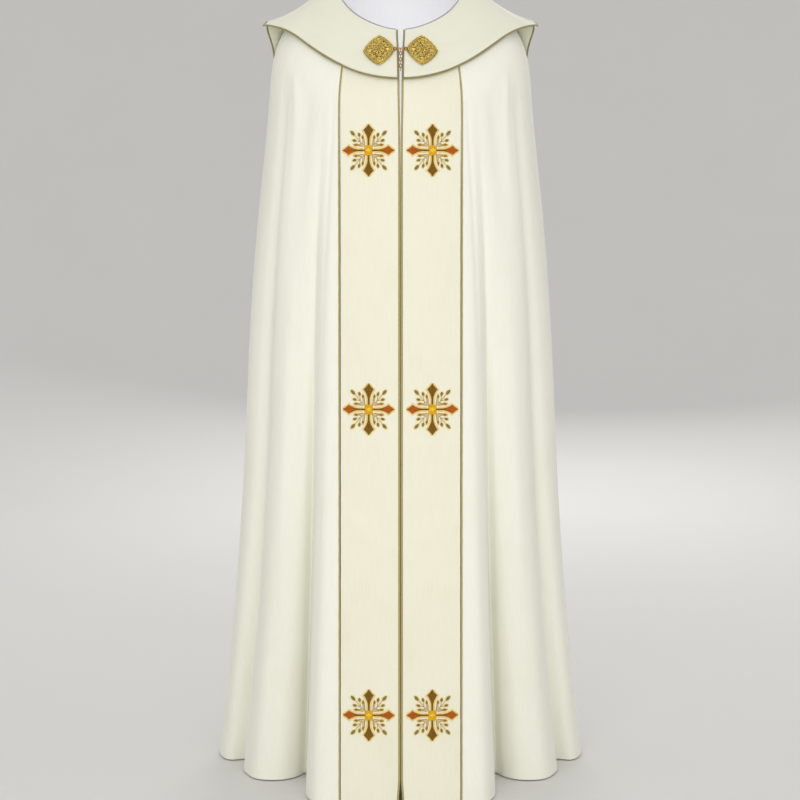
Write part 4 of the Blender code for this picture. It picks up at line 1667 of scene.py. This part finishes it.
@dataclass
class Clasp:
    """Two gilt filigree lozenges sewn on the collar, joined by a link and a short chain."""

    trees: Trees
    gilt: Material
    height: float = -0.135
    half_width: float = 0.0290
    half_height: float = 0.0300
    centre: float = 0.0374
    power: float = 1.32
    scallops: int = 16
    scallop_depth: float = 0.022
    collar_lift: float = 0.0064
    profile_sizes: tuple[float, ...] = (0.0, 0.22, 0.40, 0.46, 0.78, 0.84, 0.94, 1.0)
    profile_heights: tuple[float, ...] = (5.2, 4.8, 3.6, 2.2, 1.8, 2.8, 2.8, 2.0)
    wire_radius: float = 0.00055
    grain_radius: float = 0.00115
    bead_spacing: float = 0.0026
    petals: int = 8
    petal_size: float = 0.24
    petal_reach: float = 0.12
    petal_spread: float = 0.30
    leaf_size: float = 0.47
    leaf_reach: float = 0.29
    leaf_bow: float = 0.12
    leaf_lean: float = 0.10
    ring_sizes: tuple[float, ...] = (0.985, 0.80, 0.43)
    rim_size: float = 0.89
    scroll_shrink: float = 0.78
    wire_above: float = 0.4
    ring_above: float = 0.3
    grain_above: float = 0.5
    petal_grain_above: float = 0.6
    ring_points: int = 128
    scroll_points: int = 22
    leaf_points: int = 17
    petal_points: int = 20
    boss_height: float = 0.0053

    def stand(self) -> Matrix:
        """The placement of the right-hand plate, its back just off the collar.

        Returns:
            The placement.
        """
        middle = DRAPE.level_at_height(0.0, self.height)
        place = DRAPE.place_at_half_width(middle, self.centre)
        level = DRAPE.level_at_height(place, self.height)
        point, normal, _, _ = DRAPE.frame(place, level)
        out = Vector(normal)
        across = (Vector((1, 0, 0)) - out * out.x).normalized()
        back = Vector(point) + out * (self.collar_lift + WALL / 2 + SEAM_GAP)
        turn = Matrix((across, out.cross(across), out)).transposed().to_4x4()
        return Matrix.Translation(back) @ turn

    def outline(self, angle: Array) -> Array:
        """The lozenge's radius at an angle.

        Args:
            angle: angles round the plate.

        Returns:
            The radii.
        """
        across = np.abs(np.cos(angle) / self.half_width) ** self.power
        along = np.abs(np.sin(angle) / self.half_height) ** self.power
        scallop = 1 - self.scallop_depth * (1 - np.cos(self.scallops * angle)) / 2
        return scallop * (across + along) ** (-1 / self.power)

    def on_plate(self, angle: Array, size: Array, above: float) -> Array:
        """Points over the plate.

        Args:
            angle: angles round it.
            size: shares of its outline.
            above: how far over its surface they lie, in millimetres.

        Returns:
            Points in the plate's own frame.
        """
        angle, size = matched(angle, size)
        radius = self.outline(angle) * size
        height = (np.interp(size, self.profile_sizes, self.profile_heights) + above) * MM
        return np.stack([radius * np.cos(angle), radius * np.sin(angle), height], -1)

    def scroll(self, shape: Scroll, middle: float, side: int) -> Array:
        """A spiral scroll of wire that lies on the plate.

        Args:
            shape: its sizes.
            middle: the angle of the corner that it lies beside.
            side: 1 or -1, for the side of the corner's line.

        Returns:
            Its points.
        """
        share = np.linspace(0.0, 1.0, self.scroll_points)
        spin = middle + side * (shape.turn + math.tau * shape.turns * share)
        reach = shape.radius * (1 - self.scroll_shrink * share)
        base = self.on_plate(middle + side * shape.angle, shape.size, 0.0)
        x = base[0] + reach * np.cos(spin)
        y = base[1] + reach * np.sin(spin)
        angles = np.arctan2(y, x)
        return self.on_plate(angles, np.hypot(x, y) / self.outline(angles), self.wire_above)

    def granule(self, angle: float, size: float, above: float) -> Line:
        """A line too short for more than one granule."""
        return Line(self.on_plate(np.array([angle, angle + 0.01]), size, above))

    def lines(self) -> tuple[list[Line], list[Line], list[Line]]:
        """Lays out one plate in its own frame.

        Returns:
            Its wires, its rim's beads and its granules.
        """
        ring = np.linspace(0.0, math.tau, self.ring_points + 1)[:-1]
        wires = [Line(self.on_plate(ring, size, self.ring_above), True) for size in self.ring_sizes]
        beads = [Line(self.on_plate(ring, self.rim_size, self.wire_above), True)]
        boss = np.array([[0.0, 0.0, self.boss_height], [0.05 * MM, 0.0, self.boss_height]])
        granules = [Line(boss)]
        leaf = np.linspace(-1.0, 1.0, self.leaf_points)
        for corner in range(4):
            middle = corner * math.pi / 2
            for side in (-1, 1):
                wires += [Line(self.scroll(shape, middle, side)) for shape in SCROLLS]
                bow = side * self.leaf_bow * (1 - np.abs(leaf)) + self.leaf_lean * leaf
                size = self.leaf_size + self.leaf_reach * (1 - leaf**2)
                wires.append(Line(self.on_plate(middle + bow, size, self.wire_above)))
            granules += [self.granule(middle + at, size, self.grain_above) for at, size in GRANULES]
        petal = np.linspace(0.0, math.tau, self.petal_points + 1)[:-1]
        step = math.tau / self.petals
        for number in range(self.petals):
            angle = step * number + self.petal_spread * np.sin(petal)
            size = self.petal_size + self.petal_reach * np.cos(petal)
            wires.append(Line(self.on_plate(angle, size, self.wire_above), True))
            between_petals, tip = step * (number + 0.5), self.petal_size + self.petal_reach
            granules.append(self.granule(between_petals, tip, self.petal_grain_above))
        return wires, beads, granules

    def placed(self, lines: Sequence[Line], left: bool) -> list[Line]:
        """Lines moved from the plate's own frame onto the garment.

        Args:
            lines: the lines.
            left: whether they go on the left-hand plate.

        Returns:
            The moved lines.
        """
        stand = np.array(self.stand())
        world = [line.points @ stand[:3, :3].T + stand[:3, 3] for line in lines]
        return [Line(mirrored(p) if left else p, line.closed) for p, line in zip(world, lines)]

    def build(self) -> None:
        """Lays the filigree on both plates."""
        wires, beads, granules = self.lines()
        thread, beading = self.trees.thread, self.trees.beads
        wire = {"Radius": self.wire_radius, "Sides": 6}
        rim = {"Radius": self.grain_radius, "Spacing": self.bead_spacing, "Roundness": 2}
        # The spacing is longer than a granule's line, so that each gets one
        single = {"Radius": self.grain_radius, "Spacing": 0.01, "Roundness": 2}
        rows = ((wires, thread, wire), (beads, beading, rim), (granules, beading, single))
        for side, left in (("right", False), ("left", True)):
            name = f"clasp_filigree_{side}"
            meshes = [grow(self.placed(row, left), tree, self.gilt, **sizes) for row, tree, sizes in rows]
            new_object(name, joined_mesh(name, meshes))


def dress_metal(frame: dict, plate: Material, chain: Material) -> None:
    """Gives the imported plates, link and chain their finishes.

    Args:
        plate: the plates' finish.
        chain: the link's and the chain's finish.
    """
    for name, obj in frame["nodes"].items():
        if name.startswith("clasp_"):
            finish = plate if "plate" in name else chain
            obj.data.materials.clear()
            obj.data.materials.append(finish)


# The crosses


@dataclass(frozen=True)
class Patch:
    """A stitched shape: rows of satin stitch from one edge to the other.

    Points are in millimetres from the cross's middle, x across and y up.
    """

    starts: Array
    ends: Array


# Each leaf of a quadrant: x, y, direction in degrees, half length and half width, in millimetres
LEAVES = (
    (28.4, 30.6, 48.0, 5.2, 2.5),
    (16.8, 27.6, 78.0, 3.4, 2.1),
    (25.2, 17.6, 14.0, 3.4, 2.1),
    (22.8, 9.8, -18.0, 2.8, 1.9),
    (10.4, 23.2, 100.0, 2.4, 1.5),
)
SAGE_LEAVES = 3
# Where a stitch's points lie along it, and how high each stands as a share of its rise
STITCH_STEPS = np.array([0.0, 0.16, 0.5, 0.84, 1.0])
STITCH_ARCH = np.array([-0.0002, 0.75, 1.0, 0.75, -0.0002])
# Rows run on by this much, in millimetres, so that one that falls on their end counts
ROW_MARGIN = 0.01
QUADRANTS = ((1, 1), (-1, 1), (-1, -1), (1, -1))


@dataclass(frozen=True)
class Stem:
    """A stem of a quadrant: its start, its run and how each of the run's parts bends, in millimetres."""

    start: tuple[float, float]
    run: tuple[float, float]
    powers: tuple[float, float] = (1.0, 1.0)

    def points(self) -> Array:
        """Points along it."""
        share = np.linspace(0.0, 1.0, 15)[:, None]
        return np.array(self.start) + np.array(self.run) * share ** np.array(self.powers)


MAIN_STEM = Stem((8.5, 9.0), (17.5, 19.5), (1.0, 1.12))
TWIGS = (Stem((15.0, 16.2), (2.0, 9.5), (1.0, 0.9)), Stem((14.0, 14.8), (9.5, 2.6), (0.9, 1.0)))
INNER_STEM = Stem((10.4, 12.0), (1.2, 11.0), (2.0, 1.0))


@dataclass
class Crosses:
    """Six floriated crosses, embroidered in satin stitch on the front bands."""

    trees: Trees
    olive: Material
    copper: Material
    sage: Material
    bronze: Material
    yellow: Material
    bright: Material
    pale: Material
    heights: tuple[float, ...] = (-0.311, -0.776, -1.329)
    offset: float = 0.0575
    pitch: float = 0.62
    arm_tip: float = 47.5
    arm_start: float = 6.0
    swell_start: float = 17.5
    knop: float = 35.2
    knop_width: float = 9.6
    knop_range: tuple[float, float] = (24.0, 43.6)
    stem_width: float = 1.5
    beam_width: float = 0.88
    border: float = 2.8
    square: float = 8.8
    diamond: float = 5.0
    thread_radius: float = 0.00040
    sunk_share: float = 0.3
    pad_height: float = 0.0007
    knop_rise: float = 1.9
    knop_fall: float = 1.4
    leaf_pitch_share: float = 0.9
    leaf_power: float = 0.8
    leaf_blunt: float = 0.15
    square_dip: float = 1.2
    diamond_blunt: float = 0.2
    stitch_slant: float = 0.16
    stitch_gap: float = 0.3
    hook_drop: float = 3.4
    hook_turn: float = 2.2
    stalk_radius: float = 0.00095
    vine_radius: float = 0.00055
    outline_radius: float = 0.00065
    outline_gap: tuple[float, float] = (1.0, 0.8)
    bedding: float = 0.7
    grid_x: Array = field(default_factory=lambda: np.linspace(0.004, 0.1125, 55))
    grid_z: Array = field(default_factory=lambda: np.linspace(-0.245, -1.40, 232))
    depths: dict[bool, Array] = field(default_factory=dict)

    def arm_width(self, along: Array) -> Array:
        """The half width of an arm: a thin stem that swells into a pointed lozenge.

        Args:
            along: distances from the cross's middle.

        Returns:
            The half widths.
        """
        rise = np.clip((along - self.swell_start) / (self.knop - self.swell_start), 0.0, 1.0)
        fall = np.clip((self.arm_tip - along) / (self.arm_tip - self.knop), 0.0, 1.0)
        rise, fall = rise**self.knop_rise, fall**self.knop_fall
        swell = np.where(along < self.knop, rise, fall)
        stem = np.where(along < self.knop, self.stem_width, self.stem_width * fall)
        return stem + (self.knop_width - self.stem_width) * swell

    def arm(self, turn: float, width: float, start: float, end: float, border: float = 0.0) -> Patch:
        """One arm, or a length of it, in slanting stitches, two to a row.

        Args:
            turn: the arm's direction, in degrees from the right.
            width: how wide it is, as a share of the others.
            start: where the length starts, from the cross's middle.
            end: where it ends.
            border: the width of a border beside the arm, which is stitched in place of the arm.

        Returns:
            Its stitches.
        """
        rows = np.arange(start, end, self.pitch)
        starts, ends = [], []
        for side in (-1, 1):
            reach = self.arm_width(rows) * width * side
            inner = reach + self.stitch_gap * side if border else reach * 0
            outer = reach + (border + self.stitch_gap) * side if border else reach
            starts.append(np.stack([rows, inner], -1))
            ends.append(np.stack([rows + np.abs(outer - inner) * self.stitch_slant, outer], -1))
        return self.turned(Patch(np.concatenate(starts), np.concatenate(ends)), turn)

    def turned(self, patch: Patch, degrees: float) -> Patch:
        """A patch turned about the cross's middle.

        Args:
            patch: the patch.
            degrees: how far it turns, anticlockwise.

        Returns:
            The turned patch.
        """
        angle = math.radians(degrees)
        turn = np.array([[math.cos(angle), math.sin(angle)], [-math.sin(angle), math.cos(angle)]])
        return Patch(patch.starts @ turn, patch.ends @ turn)

    def leaf(self, x: float, y: float, degrees: float, length: float, width: float) -> Patch:
        """A pointed leaf about a place, with its stitches square to its length.

        Args:
            x: its middle's distance to the right.
            y: its middle's distance up.
            degrees: its direction.
            length: its half length.
            width: its half width.

        Returns:
            Its stitches.
        """
        rows = np.arange(-length, length + ROW_MARGIN, self.pitch * self.leaf_pitch_share)
        reach = width * np.cos(rows / length * math.pi / 2) ** self.leaf_power + self.leaf_blunt
        patch = Patch(np.stack([rows, -reach], -1), np.stack([rows, reach], -1))
        turned = self.turned(patch, degrees)
        return Patch(turned.starts + (x, y), turned.ends + (x, y))

    def quadrants(self, patch: Patch) -> list[Patch]:
        """A patch and its mirrored copies in all four quadrants."""
        return [Patch(patch.starts * flip, patch.ends * flip) for flip in np.array(QUADRANTS)]

    def centre_patches(self) -> tuple[Patch, Patch]:
        """The square knot at the middle and the small diamond on it.

        Returns:
            The square and the diamond.
        """
        rows = np.arange(-self.square, self.square + ROW_MARGIN, self.pitch)
        reach = self.square - self.square_dip * np.abs(np.sin(rows / self.square * math.pi))
        square = Patch(np.stack([-reach, rows], -1), np.stack([reach, rows], -1))
        end = self.diamond - self.diamond_blunt
        rows = np.arange(-end, end + ROW_MARGIN, self.pitch)
        reach = self.diamond - np.abs(rows)
        diamond = Patch(np.stack([rows, -reach], -1), np.stack([rows, reach], -1))
        return square, diamond

    def fourfold(self, lines: Sequence[Array]) -> list[Array]:
        """Lines and their mirrored copies in all four quadrants."""
        return [line * flip for line in lines for flip in QUADRANTS]

    def stalks(self) -> list[Array]:
        """The stems that run beside each arm and curl away from it.

        Returns:
            The lines of all eight.
        """
        share = np.linspace(0.0, 1.0, 19)
        bulge, curl = 0.7 * np.sin(share * math.pi), 3.4 * share**4
        beside = np.stack([7.4 + bulge + curl, 9.6 + 18.0 * share], -1)
        return self.fourfold([beside, beside[:, ::-1]])

    def vines(self) -> list[Array]:
        """The branching stem in each quadrant, and the fine lines beside the stalks.

        Returns:
            The lines.
        """
        hook = Stem((13.0, 13.0), (9.0, 0.0)).points()
        hook[:, 1] -= self.hook_drop * np.sin(np.linspace(0.0, self.hook_turn, len(hook)))
        inner = INNER_STEM.points()
        twigs = [twig.points() for twig in TWIGS]
        return self.fourfold([MAIN_STEM.points(), *twigs, hook, inner, inner[:, ::-1]])

    def outlines(self) -> list[Array]:
        """Fine lines round the leaves.

        Returns:
            The lines.
        """
        found = []
        for x, y, degrees, length, width in LEAVES:
            around = np.linspace(0.0, math.tau, 19)
            reach = np.array((length, width)) + self.outline_gap
            shape = reach * np.stack([np.cos(around), np.sin(around)], -1)
            found.append(self.turned(Patch(shape, np.zeros((1, 2))), degrees).starts + (x, y))
        return self.fourfold(found)

    def prepare(self) -> None:
        """Tabulates how far forward each band's outside is, by height and distance from the centre."""
        # Places from the opening to just past the band's seam
        places = np.linspace(0.0, 1.06, 60)
        levels = DRAPE.level_at_height(BAND_SEAM / 2, self.grid_z)[:, None]
        for left in (False, True):
            points, normals = DRAPE.creased(RING - places if left else places, levels)
            outside = points + normals * WALL / 2
            rows = [np.interp(self.grid_x, np.abs(row[:, 0]), row[:, 1]) for row in outside]
            self.depths[left] = np.array(rows)

    def on_band(self, x: Array, z: Array, above: ArrayLike) -> Array:
        """Points over the bands' outside.

        Args:
            x: distances from the centre line, below 0 on the left.
            z: heights.
            above: how far over the cloth they lie.

        Returns:
            The points.
        """
        column = (np.abs(x) - self.grid_x[0]) / (self.grid_x[1] - self.grid_x[0])
        row = (z - self.grid_z[0]) / (self.grid_z[1] - self.grid_z[0])
        column = np.clip(column, 0.0, len(self.grid_x) - 1.001)
        i, j = row.astype(int), column.astype(int)
        table = self.depths[bool(np.mean(x) < 0)]
        a, b = table[i, j], table[i, j + 1]
        c, d = table[i + 1, j], table[i + 1, j + 1]
        u, v = column - j, row - i
        y = (a * (1 - u) + b * u) * (1 - v) + (c * (1 - u) + d * u) * v
        slope_x = (b - a) / (self.grid_x[1] - self.grid_x[0]) * np.sign(x)
        slope_z = (c - a) / (self.grid_z[1] - self.grid_z[0])
        normal = unit(np.stack([slope_x, -np.ones(y.shape), slope_z], -1))
        return np.stack([x, y, z], -1) + normal * np.asarray(above)[..., None]

    def stitches(self, patches: Sequence[Patch], centre: tuple[float, float], rise: float) -> list[Line]:
        """Arched threads for some patches of one cross.

        Args:
            patches: the patches.
            centre: the cross's x and z.
            rise: how far the stitches' middles stand over the cloth.

        Returns:
            A line for each stitch.
        """
        arch, lines = STITCH_ARCH * rise, []
        for patch in patches:
            run = patch.ends - patch.starts
            flat = patch.starts[:, None] + run[:, None] * STITCH_STEPS[None, :, None]
            x = centre[0] + flat[..., 0] * MM
            z = centre[1] + flat[..., 1] * MM
            sunk = self.thread_radius * self.sunk_share
            points = self.on_band(x, z, np.broadcast_to(arch, x.shape) + sunk)
            lines += [Line(stitch) for stitch in points]
        return lines

    def stems(self, paths: Sequence[Array], centre: tuple[float, float], above: float) -> list[Line]:
        """Threads laid along some paths of one cross.

        Args:
            paths: the paths.
            centre: the cross's x and z.
            above: how far over the cloth the threads' middles lie.

        Returns:
            A line for each.
        """
        lines = []
        for path in paths:
            x, z = centre[0] + path[:, 0] * MM, centre[1] + path[:, 1] * MM
            lines.append(Line(self.on_band(x, z, np.full(x.shape, above))))
        return lines

    def build(self) -> None:
        """Stitches all six."""
        self.prepare()
        start, (knop_start, knop_end), end = self.arm_start, self.knop_range, self.arm_tip - 0.6
        square, diamond = self.centre_patches()
        leaves = [self.quadrants(self.leaf(*leaf)) for leaf in LEAVES]
        narrow = self.beam_width
        uprights = [self.arm(turn, 1.0, start, end) for turn in (90, 270)]
        spans = ((start, knop_start), (knop_end, end))
        beams = [self.arm(turn, narrow, *span) for turn in (0, 180) for span in spans]
        knops = [self.arm(turn, narrow, knop_start, knop_end) for turn in (0, 180)]
        turns = ((0, narrow), (90, 1.0), (180, narrow), (270, 1.0))
        borders = [self.arm(turn, width, self.square + 1.0, end, self.border) for turn, width in turns]
        sage_leaves = [copy for group in leaves[:SAGE_LEAVES] for copy in group]
        buds = [copy for group in leaves[SAGE_LEAVES:] for copy in group]
        pad, radius = self.pad_height, self.thread_radius
        stitched = (
            ("cross_uprights", self.olive, [*uprights, *beams], pad),
            ("cross_knops", self.copper, knops, pad),
            ("cross_borders", self.pale, borders, pad * 0.5),
            ("cross_leaves", self.sage, sage_leaves, pad * 0.7),
            ("cross_buds", self.olive, buds, pad * 0.7),
            ("cross_squares", self.yellow, [square], pad * 1.5),
            ("cross_diamonds", self.bright, [diamond], pad * 2.6),
        )
        laid = (
            ("cross_stalks", self.bronze, self.stalks(), self.stalk_radius),
            ("cross_vines", self.bronze, self.vines(), self.vine_radius),
            ("cross_outlines", self.pale, self.outlines(), self.outline_radius),
        )
        centres = [(side * self.offset, height) for height in self.heights for side in (-1, 1)]
        for name, finish, patches, rise in stitched:
            lines = [line for centre in centres for line in self.stitches(patches, centre, rise)]
            mesh = grow(lines, self.trees.thread, finish, Radius=radius, Sides=4)
            new_object(name, mesh)
        for name, finish, paths, size in laid:
            lines = [line for centre in centres for line in self.stems(paths, centre, size * self.bedding)]
            mesh = grow(lines, self.trees.thread, finish, Radius=size, Sides=5)
            new_object(name, mesh)


# The studio


@dataclass(frozen=True)
class Lamp:
    """A square soft light: its place and aim in metres, its side in metres and its power in watts."""

    name: str
    place: tuple[float, float, float]
    aim: tuple[float, float, float]
    side: float
    power: float

    def build(self) -> None:
        """Adds the light."""
        data = bpy.data.lights.new(self.name, "AREA")
        data.shape = "SQUARE"
        data.size = self.side
        data.energy = self.power
        obj = bpy.data.objects.new(self.name, data)
        obj.location = self.place
        obj.rotation_euler = (Vector(self.aim) - Vector(self.place)).to_track_quat("-Z", "Y").to_euler()
        obj.visible_camera = False
        bpy.context.scene.collection.objects.link(obj)


GARMENT_MIDDLE = (0.0, 0.0, -0.7)
LAMPS = (
    Lamp("key", (-0.9, -4.3, 0.3), GARMENT_MIDDLE, 2.4, 46.0),
    Lamp("fill", (1.0, -4.2, -0.2), GARMENT_MIDDLE, 2.4, 34.0),
    Lamp("back", (0.4, 3.8, 0.6), GARMENT_MIDDLE, 2.4, 40.0),
    # Daylight that comes through the thin white lining behind the neck
    Lamp("lining_glow", (0.0, -0.02, -0.30), (0.0, 0.09, 0.0), 0.16, 0.30),
)


@dataclass(frozen=True)
class Studio:
    """A pale round cove with soft lights, and the camera at the photograph's view."""

    paper: Material
    floor_height: float = -1.4925
    floor_radius: float = 3.2
    cove_radius: float = 3.4
    rim_height: float = 3.6
    camera_place: tuple[float, float, float] = (-0.001, -3.5, -0.4377)
    camera_pitch: float = 5.542
    focal_mm: float = 82.89
    sensor_mm: float = 36.0
    clip: tuple[float, float] = (0.05, 60.0)
    around: int = 96
    curve_rings: int = 12
    daylight: str = "#F4F4F5"
    daylight_strength: float = 0.86

    def camera(self) -> None:
        """Creates the camera and makes it the scene's."""
        data = bpy.data.cameras.new("camera")
        data.lens = self.focal_mm
        data.sensor_width = self.sensor_mm
        data.clip_start, data.clip_end = self.clip
        obj = bpy.data.objects.new("camera", data)
        obj.location = self.camera_place
        obj.rotation_euler = (math.radians(90.0 - self.camera_pitch), 0.0, 0.0)
        bpy.context.scene.collection.objects.link(obj)
        bpy.context.scene.camera = obj

    def cove(self) -> None:
        """Makes the floor, which curves up into a wall all round."""
        turn = np.linspace(0.0, math.pi / 2, self.curve_rings + 1)
        radii = [self.floor_radius, *(self.floor_radius + self.cove_radius * np.sin(turn[1:]))]
        heights = [0.0, *(self.cove_radius * (1 - np.cos(turn[1:])))]
        radii.append(radii[-1])
        heights.append(self.rim_height)
        count = self.around
        angles = [math.tau * at / count for at in range(count)]
        points = [[0.0, 0.0, self.floor_height]]
        for radius, height in zip(radii, heights):
            up = self.floor_height + height
            points += [[radius * math.cos(angle), radius * math.sin(angle), up] for angle in angles]
        faces: list[tuple[int, ...]] = [(0, 1 + at, 1 + (at + 1) % count) for at in range(count)]
        for ring in range(len(radii) - 1):
            low, high = 1 + ring * count, 1 + (ring + 1) * count
            for at in range(count):
                after = (at + 1) % count
                faces.append((low + at, high + at, high + after, low + after))
        mesh = bpy.data.meshes.new("floor")
        mesh.from_pydata(points, [], faces)
        mesh.shade_smooth()
        mesh.materials.append(self.paper)
        obj = bpy.data.objects.new("floor", mesh)
        bpy.context.scene.collection.objects.link(obj)

    def world(self) -> None:
        """Lights everything evenly and faintly."""
        world = bpy.data.worlds.new("studio")
        world.use_nodes = True
        ground = world.node_tree.nodes["Background"]
        inputs: Inputs = {"Color": linear(self.daylight), "Strength": self.daylight_strength}
        set_inputs(world.node_tree, ground, inputs)
        bpy.context.scene.world = world

    def build(self) -> None:
        """Makes the studio."""
        self.camera()
        self.cove()
        self.world()
        for lamp in LAMPS:
            lamp.build()
        bpy.context.scene.view_settings.view_transform = "Standard"


def embroidery(name: str, colour: str, shade: str) -> Material:
    """Untwisted rayon floss: even and softly glossy, so that each colour reads as one patch."""
    return SpunThread(name, colour, shade=shade, grain_mm=1.6, roughness=0.5, sheen=0.05).build()


def main() -> None:
    """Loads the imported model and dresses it."""
    logging.basicConfig(level=logging.INFO, format="%(name)s %(message)s", stream=sys.stdout)
    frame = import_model()

    # Satin woven with the gloss on its face: pale and smooth, warmer on the bands
    satin = WovenCloth("ivory_polyester_satin", "#F0EFE2", shade="#E8E7D6").build()
    # Painted shade: the collar's satin is a darker copy of the body's satin, standing in for the shade the
    # collar lies in, and a little yellower too
    collar_shaded_satin = WovenCloth("ivory_satin_collar_painted_shade", "#E8E7D4", shade="#E0DFC8").build()
    cream = WovenCloth("cream_polyester_satin", "#ECE9D4", shade="#E4DFC4").build()
    # Plain-woven taffeta: whiter and duller than the satin
    white = WovenCloth("white_taffeta_lining", "#F3F3F5", shade="#ECECEF", roughness=0.6, sheen=0.1).build()
    # Three-ply rayon cord: dark lines between its plies. The collar's cord is twisted tighter,
    # and its colour is painted darker there, as painted shade
    cord = SpunThread("olive_gold_rayon_cord", "#BDAC6A", shade="#978948").build()
    collar_cord = SpunThread("olive_gold_cord_with_painted_shade", "#A2975C", shade="#7E7440").build()
    # Painted shade: the neck's edging is the lining's white painted grey-lilac, for the shadow along the
    # neckline
    edging = SpunThread("grey_edging_painted_shade", "#B5B2BC", shade="#94919C").build()
    olive = embroidery("olive_rayon_thread", "#9C6E08", "#6C4A02")
    copper = embroidery("copper_rayon_thread", "#CE6E04", "#9E5002")
    yellow = embroidery("yellow_gold_rayon_thread", "#F0C21C", "#D69A0C")
    bright = embroidery("bright_yellow_rayon_thread", "#F8DE30", "#EEC820")
    sage = embroidery("sage_rayon_thread", "#9E8C4C", "#7C6C34")
    bronze = embroidery("bronze_rayon_thread", "#C49A22", "#A07A14")
    pale = embroidery("pale_gold_rayon_thread", "#F5E09A", "#E9CC70")
    # Gilded brass: the drawn wire is bright, the cast plate has dark hollows, and wear
    # leaves the chain coppery
    gilt = GiltMetal("gilt_brass_wire", "#F4DC84", "#A07C34", 0.35, roughness=0.25).build()
    plate = GiltMetal("gilt_brass_plate", "#A88A3C", "#5C461C", 0.8, roughness=0.4).build()
    chain = GiltMetal("gilt_brass_chain", "#C08A48", "#8A4A24", 0.6, roughness=0.35).build()
    # Uncoated paper: matt, with no highlight of its own
    paper = StudioPaper("pale_background_paper", "#DBDAD7", "#D8D7D4").build()

    Studio(paper).build()
    Body(satin, cream, white).build()
    collar = Collar(collar_shaded_satin, collar_shaded_satin)
    collar.build()
    trees = Trees(twisted_cord_tree(3), thread_tree(), bead_tree())
    Piping(trees, cord, collar_cord, edging, collar).build()
    Lining(white).build()
    Clasp(trees, gilt).build()
    dress_metal(frame, plate, chain)
    Crosses(trees, olive, copper, sage, bronze, yellow, bright, pale).build()


if __name__ == "__main__":
    main()
